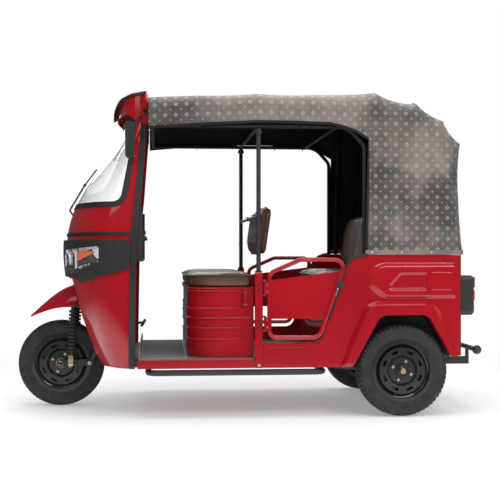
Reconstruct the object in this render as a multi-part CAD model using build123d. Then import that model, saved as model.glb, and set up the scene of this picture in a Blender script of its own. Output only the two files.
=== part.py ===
"""Auto rickshaw: a three-wheeled passenger vehicle with one steered front wheel.

Millimetres. X runs from nose to tail and is measured from the front axle, Y runs across (+Y is the
vehicle's right side) and Z up from the ground. Every piece is written shifted along X, so that the
origin lies on the ground under the middle of the length.
"""

import math
import os

from build123d import *

# Whole vehicle
WHEELBASE = 1854.0
TRACK = 1140.0
SIDE_Y = 620.0
SILL_LOW_Z = 268.0
SILL_TOP_Z = 311.0
SEAT_GAP = 0.3
OVERRUN = 20.0

# Tyres and wheels
TYRE_R = 245.0
TYRE_HALF_W = 56.0
SHOULDER_R = 226.0
SHOULDER_HALF_W = 53.0
TREAD_HALF_W = 38.0
CROWN_DROP = 4.0
RIM_FLANGE_R = 168.0
RIM_SEAT_R = 152.0
RIM_WELL_R = 134.0
RIM_HALF_W = 54.0
RIM_WALL = 5.0
LEDGE_Y = 22.0
WELL_Y = 14.0
BEAD_FIT = 0.3
DISC_T = 5.0
DISH_Y = 39.0
FACE_Y = 25.0
RING_OUT_R = 124.0
RING_IN_R = 82.0
FACE_R = 70.0
HUB_R = 34.0
HUB_HALF_W = 60.0
DRUM_R = 88.0
DRUM_BEVEL = 8.0
STUD_PCD = 106.0
STUD_COUNT = 4
STUD_R = 6.0
STUD_L = 15.0
NUT_R = 9.0
NUT_L = 9.0
WINDOW_COUNT = 8
WINDOW_L = 34.0
WINDOW_W = 16.0
WINDOW_R = 103.0
CAP_R = 25.0
CAP_L = 16.0
CAP_BEVEL = 6.0
AXLE_R = 12.0
AXLE_FIT = 0.05

# Steering axis and fork. The axis leans back from the crown, and passes ahead of the front axle
STEER_RAKE = 22.0
STEER_BASE_X = 112.0
STEER_BASE_Z = 560.0
STEERER_R = 17.0
STEERER_L = 500.0
CROWN_T = 20.0
CROWN_L = 60.0
LEG_Y = 94.0
LEG_R = 14.0
LEG_TOP_X = 126.0
LEG_BULGE = 78.0
LEG_BULGE_SHARES = ((0.0, 0.0), (0.42, 0.62), (0.78, 0.55), (1.0, 0.0))
LEG_BEND_R = 45.0
HEAD_START = 24.0
HEAD_L = 190.0
HEAD_OUT_R = 27.0
HEAD_FIT = 0.1
DOWN_TUBE_R = 20.0
DOWN_BEND_R = 60.0
DOWN_FOOT_BEND_R = 40.0

# Leading links and front shock absorbers
LINK_PIVOT_X = 164.0
LINK_PIVOT_Z = 250.0
LINK_IN_Y = 66.0
LINK_T = 12.0
LINK_END_R = 24.0
LINK_WEB_HALF_H = 19.0
LINK_PIN_R = 9.0
LINK_BOSS_R = 20.0
AXLE_END = 14.0
SHOCK_LOW_X = 62.0
SHOCK_LOW_Z = 250.0
SHOCK_TOP_X = 78.0
SHOCK_Y = 142.0
SHOCK_ROD_R = 15.0
SHOCK_EYE_R = 17.0
SHOCK_TOP_DROP = 5.0
GAITER_R = 25.0
GAITER_RIBS = 12
GAITER_START_SHARE = 0.2
GAITER_END_SHARE = 0.97
RIB_SHARE = 0.62

# Handlebar with its grips and instrument pod
BAR_R = 11.0
BAR_HALF_W = 300.0
BAR_SWEEP = 165.0
BAR_RISE = 20.0
BAR_SHARES = ((0.0, 0.3, 0.0), (0.45, 0.62, 1.0), (1.0, 1.0, 1.0))
BAR_BEND_R = 40.0
GRIP_R = 17.0
GRIP_L = 120.0
CLAMP_R = 25.0
CLAMP_L = 30.0
POD_W = 150.0
POD_L = 110.0
POD_H = 58.0
POD_CORNER_R = 18.0

# Front fender: shares of its run, half width and rise, one row per section from beak to rear
FENDER_T = 4.0
FENDER_TIP_X = -176.0
FENDER_RUN = 306.0
FENDER_HALF_W = 112.0
FENDER_LOW_Z = 508.0
FENDER_RISE = 192.0
FENDER_SHARES = (
    (0.0, 0.08, 0.0, 0.045),
    (0.26, 0.56, 0.167, 0.42),
    (0.52, 0.83, 0.28, 0.745),
    (0.76, 0.95, 0.305, 0.945),
    (1.0, 1.0, 0.25, 1.0),
)
FENDER_REAR_TOP_X = 66.0
FENDER_REAR_LOW_X = 122.0

# Nose: shares of its height, run, half width, front arc and corner arc, one row per plan section
NOSE_LOW_Z = 262.0
NOSE_H = 1378.0
NOSE_FRONT_X = 40.0
NOSE_RUN = 310.0
NOSE_HALF_W = 575.0
NOSE_BACK_X = 600.0
FRONT_ARC_R = 900.0
CORNER_ARC_R = 190.0
NOSE_SHARES = (
    (0.0, 0.45, 0.975, 1.0, 1.0),
    (0.197, 0.13, 0.995, 1.0, 1.0),
    (0.361, 0.0, 1.0, 1.0, 1.0),
    (0.536, 0.0, 1.0, 1.0, 1.0),
    (0.637, 0.142, 0.985, 1.055, 0.9),
    (1.0, 1.0, 0.905, 2.2, 0.47),
)
COWL_T = 12.0

# Side view of the cowl: its rear edge at the doorway, and its front edge behind the wheel
PILLAR_X = 429.0
PILLAR_RUN = 71.0
PILLAR_SHARES = ((0.0, 0.0), (0.03, 0.147), (0.14, 0.5), (0.39, 0.62), (0.52, 0.683), (1.0, 1.0))
GAP_X = 76.0
GAP_RUN = 224.0
GAP_LOW_Z = 240.0
GAP_RISE = 492.0
GAP_SHARES = ((1.0, 0.0), (0.8, 0.045), (0.62, 0.183), (0.263, 0.596), (0.054, 0.935), (0.0, 1.0))

# Windshield opening, seal and glass: the opening's rear edge in side view
OPEN_X = 379.0
OPEN_RUN = 51.0
OPEN_LOW_Z = 1120.0
OPEN_H = 490.0
OPEN_SHARES = ((0.0, 0.0), (1.0, 0.63), (0.86, 1.0))
OPEN_LOW_R = 78.0
OPEN_TOP_R = 52.0
GLASS_T = 5.0
GLASS_SINK = 2.0
SEAL_W = 28.0
SEAL_GRIP = 12.0
SEAL_PROUD = 5.0
SEAL_DEPTH = 9.0

# Rubber trims: down the pillars and round the nose at the belt line
TRIM_W = 34.0
TRIM_PROUD = 6.0
BELT_Z = 976.0
BELT_H = 18.0

# Headlamp panel and lamps: outlines in side view
PANEL_PROUD = 20.0
PANEL_X = 40.0
PANEL_RUN = 362.0
PANEL_LOW_Z = 714.0
PANEL_H = 232.0
PANEL_SHARES = ((1.0, 1.0), (1.0, 0.32), (0.56, 0.165), (0.287, 0.0), (0.138, 0.12))
PANEL_RADII = (26.0, 44.0, 120.0, 22.0, 8.0)
LAMP_X = 40.0
LAMP_RUN = 215.0
LAMP_LOW_Z = 757.0
LAMP_H = 160.0
LAMP_SHARES = ((0.0, 0.84), (1.0, 1.0), (0.92, 0.45), (0.316, 0.156), (0.0, 0.0))
LAMP_CORNER_R = 16.0
LAMP_PROUD = 9.0
LAMP_IN_Y = 150.0

# Roof peak over the windshield
PEAK_X = 298.0
PEAK_END_X = 497.0
PEAK_HALF_W = 545.0
PEAK_ARC_R = 2000.0
PEAK_CORNER_R = 110.0
PEAK_LOW_Z = 1560.0
PEAK_H = 173.0
PEAK_TOP_SHARES = ((0.0, 0.46), (0.04, 0.62), (0.2, 0.79), (0.58, 0.92), (1.0, 1.0))
PEAK_LOW_SHARES = ((1.0, 0.0), (0.71, 0.1), (0.51, 0.3), (0.0, 0.39))
PEAK_T = 6.0
PEAK_CROWN = 7.0
VISOR_W = 22.0
VISOR_T = 9.0
PEAK_HOOP_W = 10.0
PEAK_HOOP_RISE = 14.0
PEAK_HOOP_H = 70.0

# Cab front: bulkhead, dash, pedal, mirrors and wiper
BULKHEAD_X = 398.0
BULKHEAD_T = 6.0
DASH_X = 338.0
DASH_BACK_X = 470.0
DASH_LOW_Z = 830.0
DASH_TOP_Z = 962.0
DASH_WALL = 10.0
DASH_GAP_Y = 190.0
DASH_CHEEK_W = 22.0
DASH_CHEEK_TOP_Z = 1118.0
PEDAL_X = 468.0
PEDAL_Y = -150.0
PEDAL_Z = 480.0
PEDAL_PAD = (12.0, 70.0, 44.0)
PEDAL_TILT = 30.0
PEDAL_ARM_R = 7.0
MIRROR_X = 404.0
MIRROR_Z = 1468.0
MIRROR_L = 50.0
MIRROR_T = 30.0
MIRROR_H = 196.0
MIRROR_CORNER_R = 22.0
MIRROR_GAP_Y = 16.0
MIRROR_ARM_R = 5.0
MIRROR_ARM_X = 452.0
MIRROR_ARM_Z = 1600.0
WIPER_PIVOT_Z = 1088.0
WIPER_KNEE_Z = 1118.0
WIPER_KNEE_OUT = 34.0
WIPER_TIP_Z = 1262.0
WIPER_TIP_Y = 60.0
WIPER_LIFT = 16.0
WIPER_BLADE_Z = 1330.0
WIPER_BLADE_Y = 330.0
WIPER_BLADE_LIFT = 11.0
WIPER_R = 5.0
WIPER_BLADE_R = 4.0
WIPER_HUB_R = 9.0

# Floor, mat and sills
FLOOR_T = 4.0
FLOOR_X = 443.0
FLOOR_END_X = 1500.0
MAT_T = 8.0
MAT_EDGE = 6.0
MAT_LIP_H = 46.0
MAT_LIP_T = 8.0
MAT_LIP_CORNER_R = 60.0

# Partition posts, poles and the driver's backrest
POST_X = 1062.0
POST_W = 40.0
POST_OUT_Y = 626.0
POST_IN_Y = 586.0
POST_TOP_Z = 773.0
POST_CAP_BEVEL = 4.0
POLE_R = 12.0
POLE_Y = 592.0
POLE_FLANGE_R = 18.0
POLE_FLANGE_T = 8.0
CROSSBAR_Z = 1070.0
CROSSBAR_R = 8.0
BACKREST_W = 640.0
BACKREST_H = 270.0
BACKREST_T = 60.0
BACKREST_Z = 1000.0
BACKREST_SETBACK = 56.0
BACKREST_LEAN = 8.0
BACKREST_CORNER_R = 54.0
LUG_L = 30.0
LUG_W = 40.0
LUG_H = 24.0
LUG_Y = 200.0

# Driver's seat: a box with round front corners, pressed ribs and a lifting cushion
SEAT_X = 705.0
SEAT_HALF_W = 572.0
SEAT_CORNER_R = 190.0
SEAT_TOP_Z = 694.0
SEAT_WALL = 8.0
SEAT_BACK_GAP = 4.0
SEAT_RIM_H = 14.0
SEAT_RIM_OUT = 4.0
RIB_DEPTH = 3.0
RIB_BACK_INSET = 50.0
RIB_CORNER_R = 12.0
RIB_Z = ((583.0, 668.0), (522.0, 530.0), (419.0, 477.0))
CUSHION_H = 80.0
CUSHION_OUT = 8.0
CUSHION_EDGE_R = 24.0
LATCH_X = 1000.0
LATCH_Z = 590.0
LATCH_W = 22.0
LATCH_H = 82.0
LATCH_T = 9.0

# Tub: side walls, wheel arches, flares and pressings. Arch outlines are measured from the rear axle
SIDE_T = 25.0
TUB_X = 1104.0
TUB_END_X = 2189.0
TUB_TOP_Z = 864.0
TUB_LOW_Z = 400.0
TUB_TAIL_Z = 322.0
TUB_CORNER_R = 70.0
TUB_RETURN = 60.0
DOORWAY_LOW_X = 1411.0
DOORWAY_TOP_X = 1568.0
DOORWAY_LOW_R = 55.0
DOORWAY_TOP_R = 108.0
FLARE_TOP_Z = 618.0
FLARE_FRONT_X = -341.0
FLARE_FRONT_TOP_X = -199.0
FLARE_REAR_TOP_X = 181.0
FLARE_REAR_X = 317.0
FLARE_R = 100.0
FLARE_PROUD = 28.0
FLARE_TAPER = 38.0
ARCH_TOP_Z = 545.0
ARCH_FRONT_X = -286.0
ARCH_FRONT_TOP_X = -123.0
ARCH_REAR_TOP_X = 133.0
ARCH_REAR_X = 301.0
ARCH_R = 60.0
PRESS_DEPTH = 7.0
PRESS_TAPER = 45.0
RECESS_X = 1650.0
RECESS_END_X = 2152.0
RECESS_LOW_Z = 646.0
RECESS_TOP_Z = 812.0
RECESS_NOSE_SHARE = 0.22
RECESS_R = 26.0
RECESS_NOSE_R = 60.0
SCOOP_X = 1742.0
SCOOP_END_X = 1985.0
SCOOP_LOW_Z = 694.0
SCOOP_TOP_Z = 790.0
SCOOP_SHARE = 0.42
SCOOP_R = 22.0
FLAP_X = 2004.0
FLAP_END_X = 2126.0
FLAP_LOW_Z = 680.0
FLAP_TOP_Z = 776.0
FLAP_R = 10.0
FLAP_PROUD = 3.0
SILL_PRESS_X = 1118.0
SILL_PRESS_END_X = 1331.0
SILL_PRESS_LOW_Z = 290.0
SILL_PRESS_TOP_Z = 376.0
SILL_PRESS_R = 18.0
SILL_PRESS_DEPTH = 3.0
HOUSING_IN_Y = 488.0
HOUSING_T = 5.0
HOUSING_ARM_HALF_L = 200.0
HOUSING_ARM_TOP_Z = 355.0

# Passenger bench
BENCH_X = 1440.0
BENCH_TOP_Z = 690.0
BENCH_PANEL_T = 8.0
BENCH_TOE = 20.0
BENCH_HALF_W = 575.0
BENCH_CUSHION_TOP_Z = 772.0
BENCH_CUSHION_END_X = 1760.0
BENCH_SHELF_END_X = 1870.0
BENCH_EDGE_R = 24.0
BACK_X = 1700.0
BACK_T = 110.0
BACK_TOP_Z = 1085.0
BACK_LEAN = 9.0
BACK_CORNER_R = 90.0

# Doors: a bent tube loop with a sheet, hinged on pins at the posts
DOOR_Y = 633.0
DOOR_TUBE_R = 12.0
DOOR_BEND_R = 42.0
DOOR_FRONT_X = 1136.0
DOOR_TOP_X = 1545.0
DOOR_LOW_X = 1400.0
DOOR_LOW_Z = 428.0
DOOR_KNEE_X = 1300.0
DOOR_KNEE_Z = 840.0
DOOR_SHOULDER_Z = 768.0
SHEET_LOW_Z = 528.0
SHEET_FRONT_Z = 732.0
SHEET_REAR_Z = 780.0
SHEET_T = 4.0
HINGE_X = 1114.0
HINGE_Z = (690.0, 502.0)
HINGE_H = 66.0
HINGE_PIN_R = 5.0
HINGE_WALL = 3.0
HINGE_LEAF_T = 8.0
HINGE_LUG_GAP = 1.0
CATCH_X = 1492.0
CATCH_Z = 690.0
CATCH_L = 34.0
CATCH_H = 36.0
CATCH_W = 20.0

# Canopy and its frame: shares of the canopy's run and rise
CANOPY_T = 6.0
CANOPY_X = 500.0
CANOPY_RUN = 1702.0
CANOPY_RISE = 896.0
CANOPY_TOP_SHARES = ((0.0, 0.958), (0.163, 0.97), (0.34, 0.984), (0.53, 0.983), (0.715, 1.0),
                     (0.85, 0.935),
                     (0.935, 0.826), (0.991, 0.676), (0.986, 0.34), (1.0, 0.0))
CANOPY_SAGS = (0.0, 3.0, 5.0, 4.0, 15.0, 9.0, 9.0, 6.0, 4.0)
VALANCE_SHARES = ((0.0, 0.741), (0.202, 0.769), (0.336, 0.783), (0.565, 0.775), (0.612, 0.755),
                  (0.648, 0.729),
                  (0.686, 0.686), (0.677, 0.0))
CANOPY_CORNER_R = 85.0
CANOPY_CROWN = 30.0
TUBE_R = 11.0
CROSS_TUBE_R = 9.0
FRAME_INSET = 16.0
RAIL_Z = 1548.0
RAIL_START_X = 506.0
RAIL_KNEE_X = 1560.0
RAIL_KNEE_DROP = 100.0
RAIL_KNEE_R = 120.0
RAIL_FOOT_R = 60.0
UPRIGHT_X = 1650.0
ROOF_BAR_X = (522.0, 1500.0)
BOW_PITCH = 45.0
BOW_STUB = 40.0
BOW_STUB_R = 30.0
BOW_BEND_R = 90.0
BOW_CLEAR = 6.0
FIRST_BOW = 4

# Tail: panel, engine lid, lamps, bumper and the bolt holes for a plate
LID_HALF_W = 380.0
LID_LOW_Z = 372.0
LID_TOP_Z = 610.0
LID_T = 16.0
LID_GAP = 5.0
LID_STOP = 18.0
LOUVRE_COUNT = 5
LOUVRE_PITCH = 26.0
LOUVRE_H = 10.0
LOUVRE_HALF_W = 226.0
LOUVRE_LOW = 60.0
PLATE_PITCH = 200.0
PLATE_HOLE_R = 3.5
PLATE_Z = 740.0
TAIL_LAMP_OUT_Y = 560.0
TAIL_LAMP_W = 86.0
TAIL_LAMP_LOW_Z = 537.0
TAIL_LAMP_H = 216.0
TAIL_LAMP_DEPTH = 74.0
TAIL_LAMP_R = 26.0
TAIL_LAMP_EDGE = 10.0
BUMPER_X = 2295.0
BUMPER_Z = 344.0
BUMPER_R = 14.0
BUMPER_HALF_W = 500.0
BALL_R = 25.0
BRACKET_HALF_W = 15.0
BRACKET_INSET = 5.0
BRACKET_DROP = 40.0
BRACKET_T = 12.0

# Chassis and underside
FRAME_RAIL_Y = 330.0
FRAME_RAIL_W = 40.0
FRAME_RAIL_H = 60.0
FRAME_TOP_Z = SILL_TOP_Z - FLOOR_T - SEAT_GAP
FRAME_END_X = 2149.0
CROSS_X = (452.0, 1082.0, 1500.0)
CROSS_STEP = 8.0
OUTRIGGER_H = 30.0
FOOT_TUBE_X = 500.0
FOOT_TUBE_END_X = 1430.0
FOOT_TUBE_Y = 602.0
FOOT_TUBE_Z = 244.0
FOOT_TUBE_R = 16.0
FOOT_BEND_R = 50.0
TOW_X = 2165.0
TOW_W = 80.0
TOW_T = 12.0
TOW_HOLE_R = 11.0
ENGINE_X = 1660.0
ENGINE_END_X = 2060.0
ENGINE_HALF_W = 190.0
ENGINE_LOW_Z = 200.0
ENGINE_TOP_Z = 480.0
ENGINE_MOUNT_X = (1760.0, 1960.0)
ENGINE_MOUNT_INSET = 10.0
ARM_PIVOT_X = 1530.0
ARM_PIVOT_Z = 262.0
ARM_R = 24.0
ARM_IN_Y = 390.0
ARM_KNEE_X = 1734.0
ARM_KNEE_Y = 400.0
ARM_BEND_R = 60.0
ARM_SLEEVE_Y = 430.0
HUB_GAP = 6.0
BACK_PLATE_R = 52.0
BACK_PLATE_T = 40.0
DAMPER_X = 1700.0
DAMPER_Y = 400.0
DAMPER_LOW_Z = 280.0
DAMPER_TOP_Z = 440.0
DAMPER_ROD_R = 14.0
COIL_R = 28.0
COIL_COUNT = 7
COIL_START_SHARE = 0.15
COIL_END_SHARE = 0.88
COIL_SHARE = 0.5
DAMPER_SEAT_HALF_L = 20.0
DAMPER_SEAT_HALF_W = 16.0
TURRET_T = 8.0
TURRET_REACH = 24.0

BUMPER_END_X = BUMPER_X + BALL_R
CENTRE_X = (BUMPER_END_X - TYRE_R) / 2
PEAK_FRONT_X = NOSE_FRONT_X - PANEL_PROUD - LAMP_PROUD - OVERRUN


# Shared helpers

def save(name, shape):
    """Writes one piece, shifted so that the origin is under the middle of the vehicle."""
    export_step(Location((-CENTRE_X, 0, 0)) * shape, f"parts/{name}.step")


def side_points(shares, corner, size):
    """Side view points (x, z) from shares of a width and a height, measured from a corner."""
    return [(corner[0] + along * size[0], corner[1] + up * size[1]) for along, up in shares]


def side_face(points, radii=None):
    """A side view outline, given as (x, z), as a face at y = 0, its corners rounded by these radii."""
    corners = [(x, 0, z) for x, z in points]
    if radii is None:
        return make_face(Polyline(corners, close=True))
    return make_face(FilletPolyline(*corners, radius=radii, close=True))


def side_prism(points, y0, y1, radii=None):
    """A side view outline run across the vehicle from y0 to y1."""
    return extrude(Location((0, y0, 0)) * side_face(points, radii), amount=y1 - y0, dir=(0, 1, 0))


def box(x0, x1, y0, y1, z0, z1):
    """A plain block between two corners."""
    return Location(((x0 + x1) / 2, (y0 + y1) / 2, (z0 + z1) / 2)) * Box(x1 - x0, y1 - y0, z1 - z0)


def rod(a, b, radius):
    """A round bar from point a to point b."""
    line = Line(a, b)
    return sweep(Plane(origin=a, z_dir=line % 0) * Circle(radius), path=line)


def tube_path(points, radii, radius):
    """A bent round bar along straight runs joined by arcs."""
    path = FilletPolyline(*points, radius=radii)
    return sweep(Plane(origin=path @ 0, z_dir=path % 0) * Circle(radius), path=path)


def ribs_between(a, b, first, last, count, fill, radius):
    """Evenly spaced discs along a rod, from one share of its length to another."""
    pitch = (last - first) / count
    rings = []
    for i in range(count):
        ends = [first + pitch * i, first + pitch * (i + fill)]
        start, end = [tuple(a[k] + (b[k] - a[k]) * share for k in range(3)) for share in ends]
        rings.append(rod(start, end, radius))
    return rings


def mirrored(shape):
    """A left-hand piece with its mirror image fused on."""
    return shape + mirror(shape, about=Plane.XZ)


def both_sides(shape):
    """A left-hand piece and its mirror image on the right, as one node of separate solids."""
    return Compound([*shape.solids(), *mirror(shape, about=Plane.XZ).solids()])


def steer_plane(along):
    """Plane square to the steering axis, this far up it from the crown."""
    lean = math.radians(STEER_RAKE)
    up = (math.sin(lean), 0, math.cos(lean))
    origin = (STEER_BASE_X + along * up[0], 0, STEER_BASE_Z + along * up[2])
    return Plane(origin=origin, z_dir=up, x_dir=(math.cos(lean), 0, -math.sin(lean)))


def steer_cylinder(radius, start, length):
    """A cylinder on the steering axis."""
    return steer_plane(start) * Cylinder(radius, length, align=(Align.CENTER, Align.CENTER, Align.MIN))


def steer_box(length, width, height, start):
    """A block centred on the steering axis."""
    return steer_plane(start) * Box(length, width, height, align=(Align.CENTER, Align.CENTER, Align.MIN))


def about_axle(points, outboard):
    """Revolves an outline of (y, radius), the outer face at negative y, about the axle at X = 0."""
    face = make_face(Polyline([(0, outboard * y, r) for y, r in points], close=True))
    return Location((0, 0, TYRE_R)) * revolve(face, axis=Axis.Y, revolution_arc=360)


# Wheels

def make_tyre():
    """A closed tyre with flat tread, round shoulders and beads on the rim's seats."""
    bead = RIM_HALF_W - RIM_WALL
    side = [(-bead, RIM_SEAT_R + BEAD_FIT), (-bead, RIM_FLANGE_R),
            (-TYRE_HALF_W, (RIM_FLANGE_R + SHOULDER_R) / 2),
            (-SHOULDER_HALF_W, SHOULDER_R), (-TREAD_HALF_W, TYRE_R - CROWN_DROP)]
    return about_axle([*side, (0, TYRE_R), *[(-y, r) for y, r in reversed(side)]], 1)


def make_barrel(outboard):
    """The rim's barrel: two flanges, bead seats and a drop-centre well."""
    lip = RIM_HALF_W - RIM_WALL + BEAD_FIT
    half = [(-RIM_HALF_W, RIM_FLANGE_R), (-lip, RIM_FLANGE_R), (-lip, RIM_SEAT_R),
            (-LEDGE_Y, RIM_SEAT_R - BEAD_FIT),
            (-WELL_Y, RIM_WELL_R)]
    under = [(RIM_HALF_W, RIM_SEAT_R - RIM_WALL), (LEDGE_Y, RIM_SEAT_R - RIM_WALL),
             (WELL_Y, RIM_WELL_R - RIM_WALL)]
    outline = [*half, *[(-y, r) for y, r in reversed(half)], *under,
               *[(-y, r) for y, r in reversed(under)]]
    return about_axle(outline, outboard)


def make_disc(outboard):
    """The wheel's pressed disc: a raised ring between the well and the face that carries the nuts."""
    well = RIM_WELL_R - RIM_WALL
    front = [(-WELL_Y, well), (-DISH_Y, RING_OUT_R), (-DISH_Y, RING_IN_R), (-FACE_Y, FACE_R),
             (-FACE_Y, HUB_R)]
    back = [(-FACE_Y + DISC_T, HUB_R), (-FACE_Y + DISC_T, FACE_R), (-DISH_Y + DISC_T, RING_IN_R),
            (-DISH_Y + DISC_T, RING_OUT_R - DISC_T), (-WELL_Y + DISC_T, well)]
    return about_axle([*front, *back], outboard)


def make_rim(outboard, capped):
    """A pressed steel wheel with windowed disc, hub, drum, nuts and, at the rear, a bearing cap."""
    hub_face = -HUB_HALF_W + CAP_L
    drum = [(-FACE_Y + DISC_T, 0), (-FACE_Y + DISC_T, DRUM_R), (HUB_HALF_W - DRUM_BEVEL, DRUM_R),
            (HUB_HALF_W, DRUM_R - DRUM_BEVEL), (HUB_HALF_W, 0)]
    rim = make_barrel(outboard) + make_disc(outboard) + about_axle(drum, outboard)
    rim += about_axle([(hub_face, 0), (hub_face, HUB_R), (0, HUB_R), (0, 0)], outboard)
    if capped:
        cap = [(-HUB_HALF_W, 0), (-HUB_HALF_W, CAP_R - CAP_BEVEL), (-HUB_HALF_W + CAP_BEVEL, CAP_R),
               (hub_face, CAP_R), (hub_face, 0)]
        rim += about_axle(cap, outboard)
    for i in range(WINDOW_COUNT):
        slot = Location((0, -outboard * DISH_Y, WINDOW_R)) * Box(WINDOW_L, RIM_HALF_W, WINDOW_W)
        rim -= Location((0, 0, TYRE_R), (0, 360 / WINDOW_COUNT * (i + 0.5), 0)) * slot
    for i in range(STUD_COUNT):
        turn = math.radians(360 / STUD_COUNT * (i + 0.25))
        x, z = STUD_PCD / 2 * math.sin(turn), TYRE_R + STUD_PCD / 2 * math.cos(turn)
        rim += rod((x, -outboard * FACE_Y, z), (x, -outboard * (FACE_Y + NUT_L), z), NUT_R)
        rim += rod((x, -outboard * FACE_Y, z), (x, -outboard * (FACE_Y + STUD_L), z), STUD_R)
    through = HUB_HALF_W + OVERRUN
    blind = -FACE_Y if capped else -through
    return rim - rod((0, outboard * blind, TYRE_R), (0, outboard * through, TYRE_R), AXLE_R + AXLE_FIT)


# Steering

def make_fork():
    """Steerer, crown and the two bent legs, which swing back down to the link pivots."""
    steerer = steer_cylinder(STEERER_R, 0, STEERER_L)
    crown = steer_box(CROWN_L, 2 * (SHOCK_Y + SHOCK_ROD_R), CROWN_T, 0)
    top_z = STEER_BASE_Z + CROWN_T / 2
    run, drop = LINK_PIVOT_X - LEG_TOP_X, LINK_PIVOT_Z - top_z
    points = [(LEG_TOP_X + run * down + LEG_BULGE * back, -LEG_Y, top_z + drop * down) for down,
              back in LEG_BULGE_SHARES]
    leg = tube_path(points, LEG_BEND_R, LEG_R)
    outer_y = -LEG_Y - LEG_R
    leg += rod((LINK_PIVOT_X, -LINK_IN_Y, LINK_PIVOT_Z), (LINK_PIVOT_X, outer_y - LINK_PIN_R,
                                                          LINK_PIVOT_Z), LINK_PIN_R)
    leg += rod((LINK_PIVOT_X, -LINK_IN_Y - LINK_T - SEAT_GAP, LINK_PIVOT_Z),
               (LINK_PIVOT_X, outer_y, LINK_PIVOT_Z), LINK_BOSS_R)
    return steerer + crown + mirrored(leg)


def make_links():
    """Two leading links joined by the front axle, with studs for the shock absorbers."""
    y_in, y_out = -LINK_IN_Y, -LINK_IN_Y - LINK_T
    web = side_prism([(0, TYRE_R - LINK_WEB_HALF_H), (LINK_PIVOT_X, LINK_PIVOT_Z - LINK_WEB_HALF_H),
                      (LINK_PIVOT_X, LINK_PIVOT_Z + LINK_WEB_HALF_H), (0, TYRE_R
                                                                       + LINK_WEB_HALF_H)], y_out, y_in)
    link = web + rod((0, y_in, TYRE_R), (0, y_out, TYRE_R), LINK_END_R)
    link += rod((LINK_PIVOT_X, y_in, LINK_PIVOT_Z), (LINK_PIVOT_X, y_out, LINK_PIVOT_Z), LINK_END_R)
    link += rod((SHOCK_LOW_X, y_in, SHOCK_LOW_Z), (SHOCK_LOW_X, -SHOCK_Y - SHOCK_EYE_R, SHOCK_LOW_Z),
                LINK_PIN_R)
    link -= rod((LINK_PIVOT_X, 0, LINK_PIVOT_Z), (LINK_PIVOT_X, -SHOCK_Y, LINK_PIVOT_Z), LINK_PIN_R
                + AXLE_FIT)
    end_y = LINK_IN_Y + LINK_T + AXLE_END
    return mirrored(link) + rod((0, -end_y, TYRE_R), (0, end_y, TYRE_R), AXLE_R)


def make_shock():
    """Left front shock absorber: lower eye, rod and ribbed gaiter up to the crown."""
    low = (SHOCK_LOW_X, -SHOCK_Y, SHOCK_LOW_Z)
    crown_low_z = STEER_BASE_Z + (STEER_BASE_X - SHOCK_TOP_X) * math.tan(math.radians(STEER_RAKE))
    top = (SHOCK_TOP_X, -SHOCK_Y, crown_low_z - SHOCK_TOP_DROP)
    shape = rod(low, top, SHOCK_ROD_R)
    shape += rod((low[0], -SHOCK_Y - SHOCK_EYE_R, low[2]), (low[0], -SHOCK_Y + SHOCK_EYE_R, low[2]),
                 SHOCK_EYE_R)
    for rib in ribs_between(low, top, GAITER_START_SHARE, GAITER_END_SHARE, GAITER_RIBS, RIB_SHARE,
                            GAITER_R):
        shape += rib
    reach = SHOCK_Y + SHOCK_EYE_R + OVERRUN
    return shape - rod((low[0], -reach, low[2]), (low[0], 0, low[2]), LINK_PIN_R + AXLE_FIT)


def make_handlebar():
    """Clamp, swept bar, grips and instrument pod on top of the steerer."""
    base = STEERER_L + SEAT_GAP
    z = CLAMP_L / 2
    half = [(BAR_SWEEP * back, -BAR_HALF_W * out, z + BAR_RISE * up) for back, out, up in BAR_SHARES]
    points = [*[(x, -y, h) for x, y, h in reversed(half)], *half]
    end, bend = half[-1], half[-2]
    run = math.dist(end, bend)
    start = tuple(end[k] + (bend[k] - end[k]) * GRIP_L / run for k in range(3))
    plane = steer_plane(base)
    grip = plane * rod(start, end, GRIP_R)
    pod = steer_box(POD_L, POD_W, POD_H, base + CLAMP_L)
    pod = fillet(pod.edges().filter_by(Axis.Y), POD_CORNER_R)
    return steer_cylinder(CLAMP_R, base, CLAMP_L) + plane * tube_path(points, BAR_BEND_R,
                                                                      BAR_R) + mirrored(grip) + pod


def fender_arch(row, wall):
    """One arched section of the front fender, moved in by the wall."""
    along, out, edge, crown = row
    x = FENDER_TIP_X + FENDER_RUN * along
    w = max(FENDER_HALF_W * out - wall, FENDER_T)
    z0, z1 = FENDER_LOW_Z + FENDER_RISE * edge - wall, FENDER_LOW_Z + FENDER_RISE * crown - wall
    return make_face([ThreePointArc((x, -w, z0), (x, 0, z1), (x, w, z0)), Line((x, w, z0), (x, -w, z0))])


def make_fender():
    """Front fender: a beak of arched sections with a slanted rear edge, notched round the fork's crown."""
    skin = loft([fender_arch(row, 0) for row in FENDER_SHARES])
    hollow = loft([fender_arch(row, FENDER_T) for row in FENDER_SHARES])
    low, top = FENDER_LOW_Z - OVERRUN, FENDER_LOW_Z + FENDER_RISE + OVERRUN
    end = FENDER_TIP_X + FENDER_RUN + OVERRUN
    rear = side_prism([(FENDER_REAR_LOW_X, low), (FENDER_REAR_TOP_X, top), (end, top), (end, low)],
                      -SIDE_Y, SIDE_Y)
    notch = steer_box(CROWN_L + 2 * SEAT_GAP, SIDE_Y, CROWN_T + 2 * SEAT_GAP, -SEAT_GAP)
    return skin - hollow - rear - notch


# Nose and windshield

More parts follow.
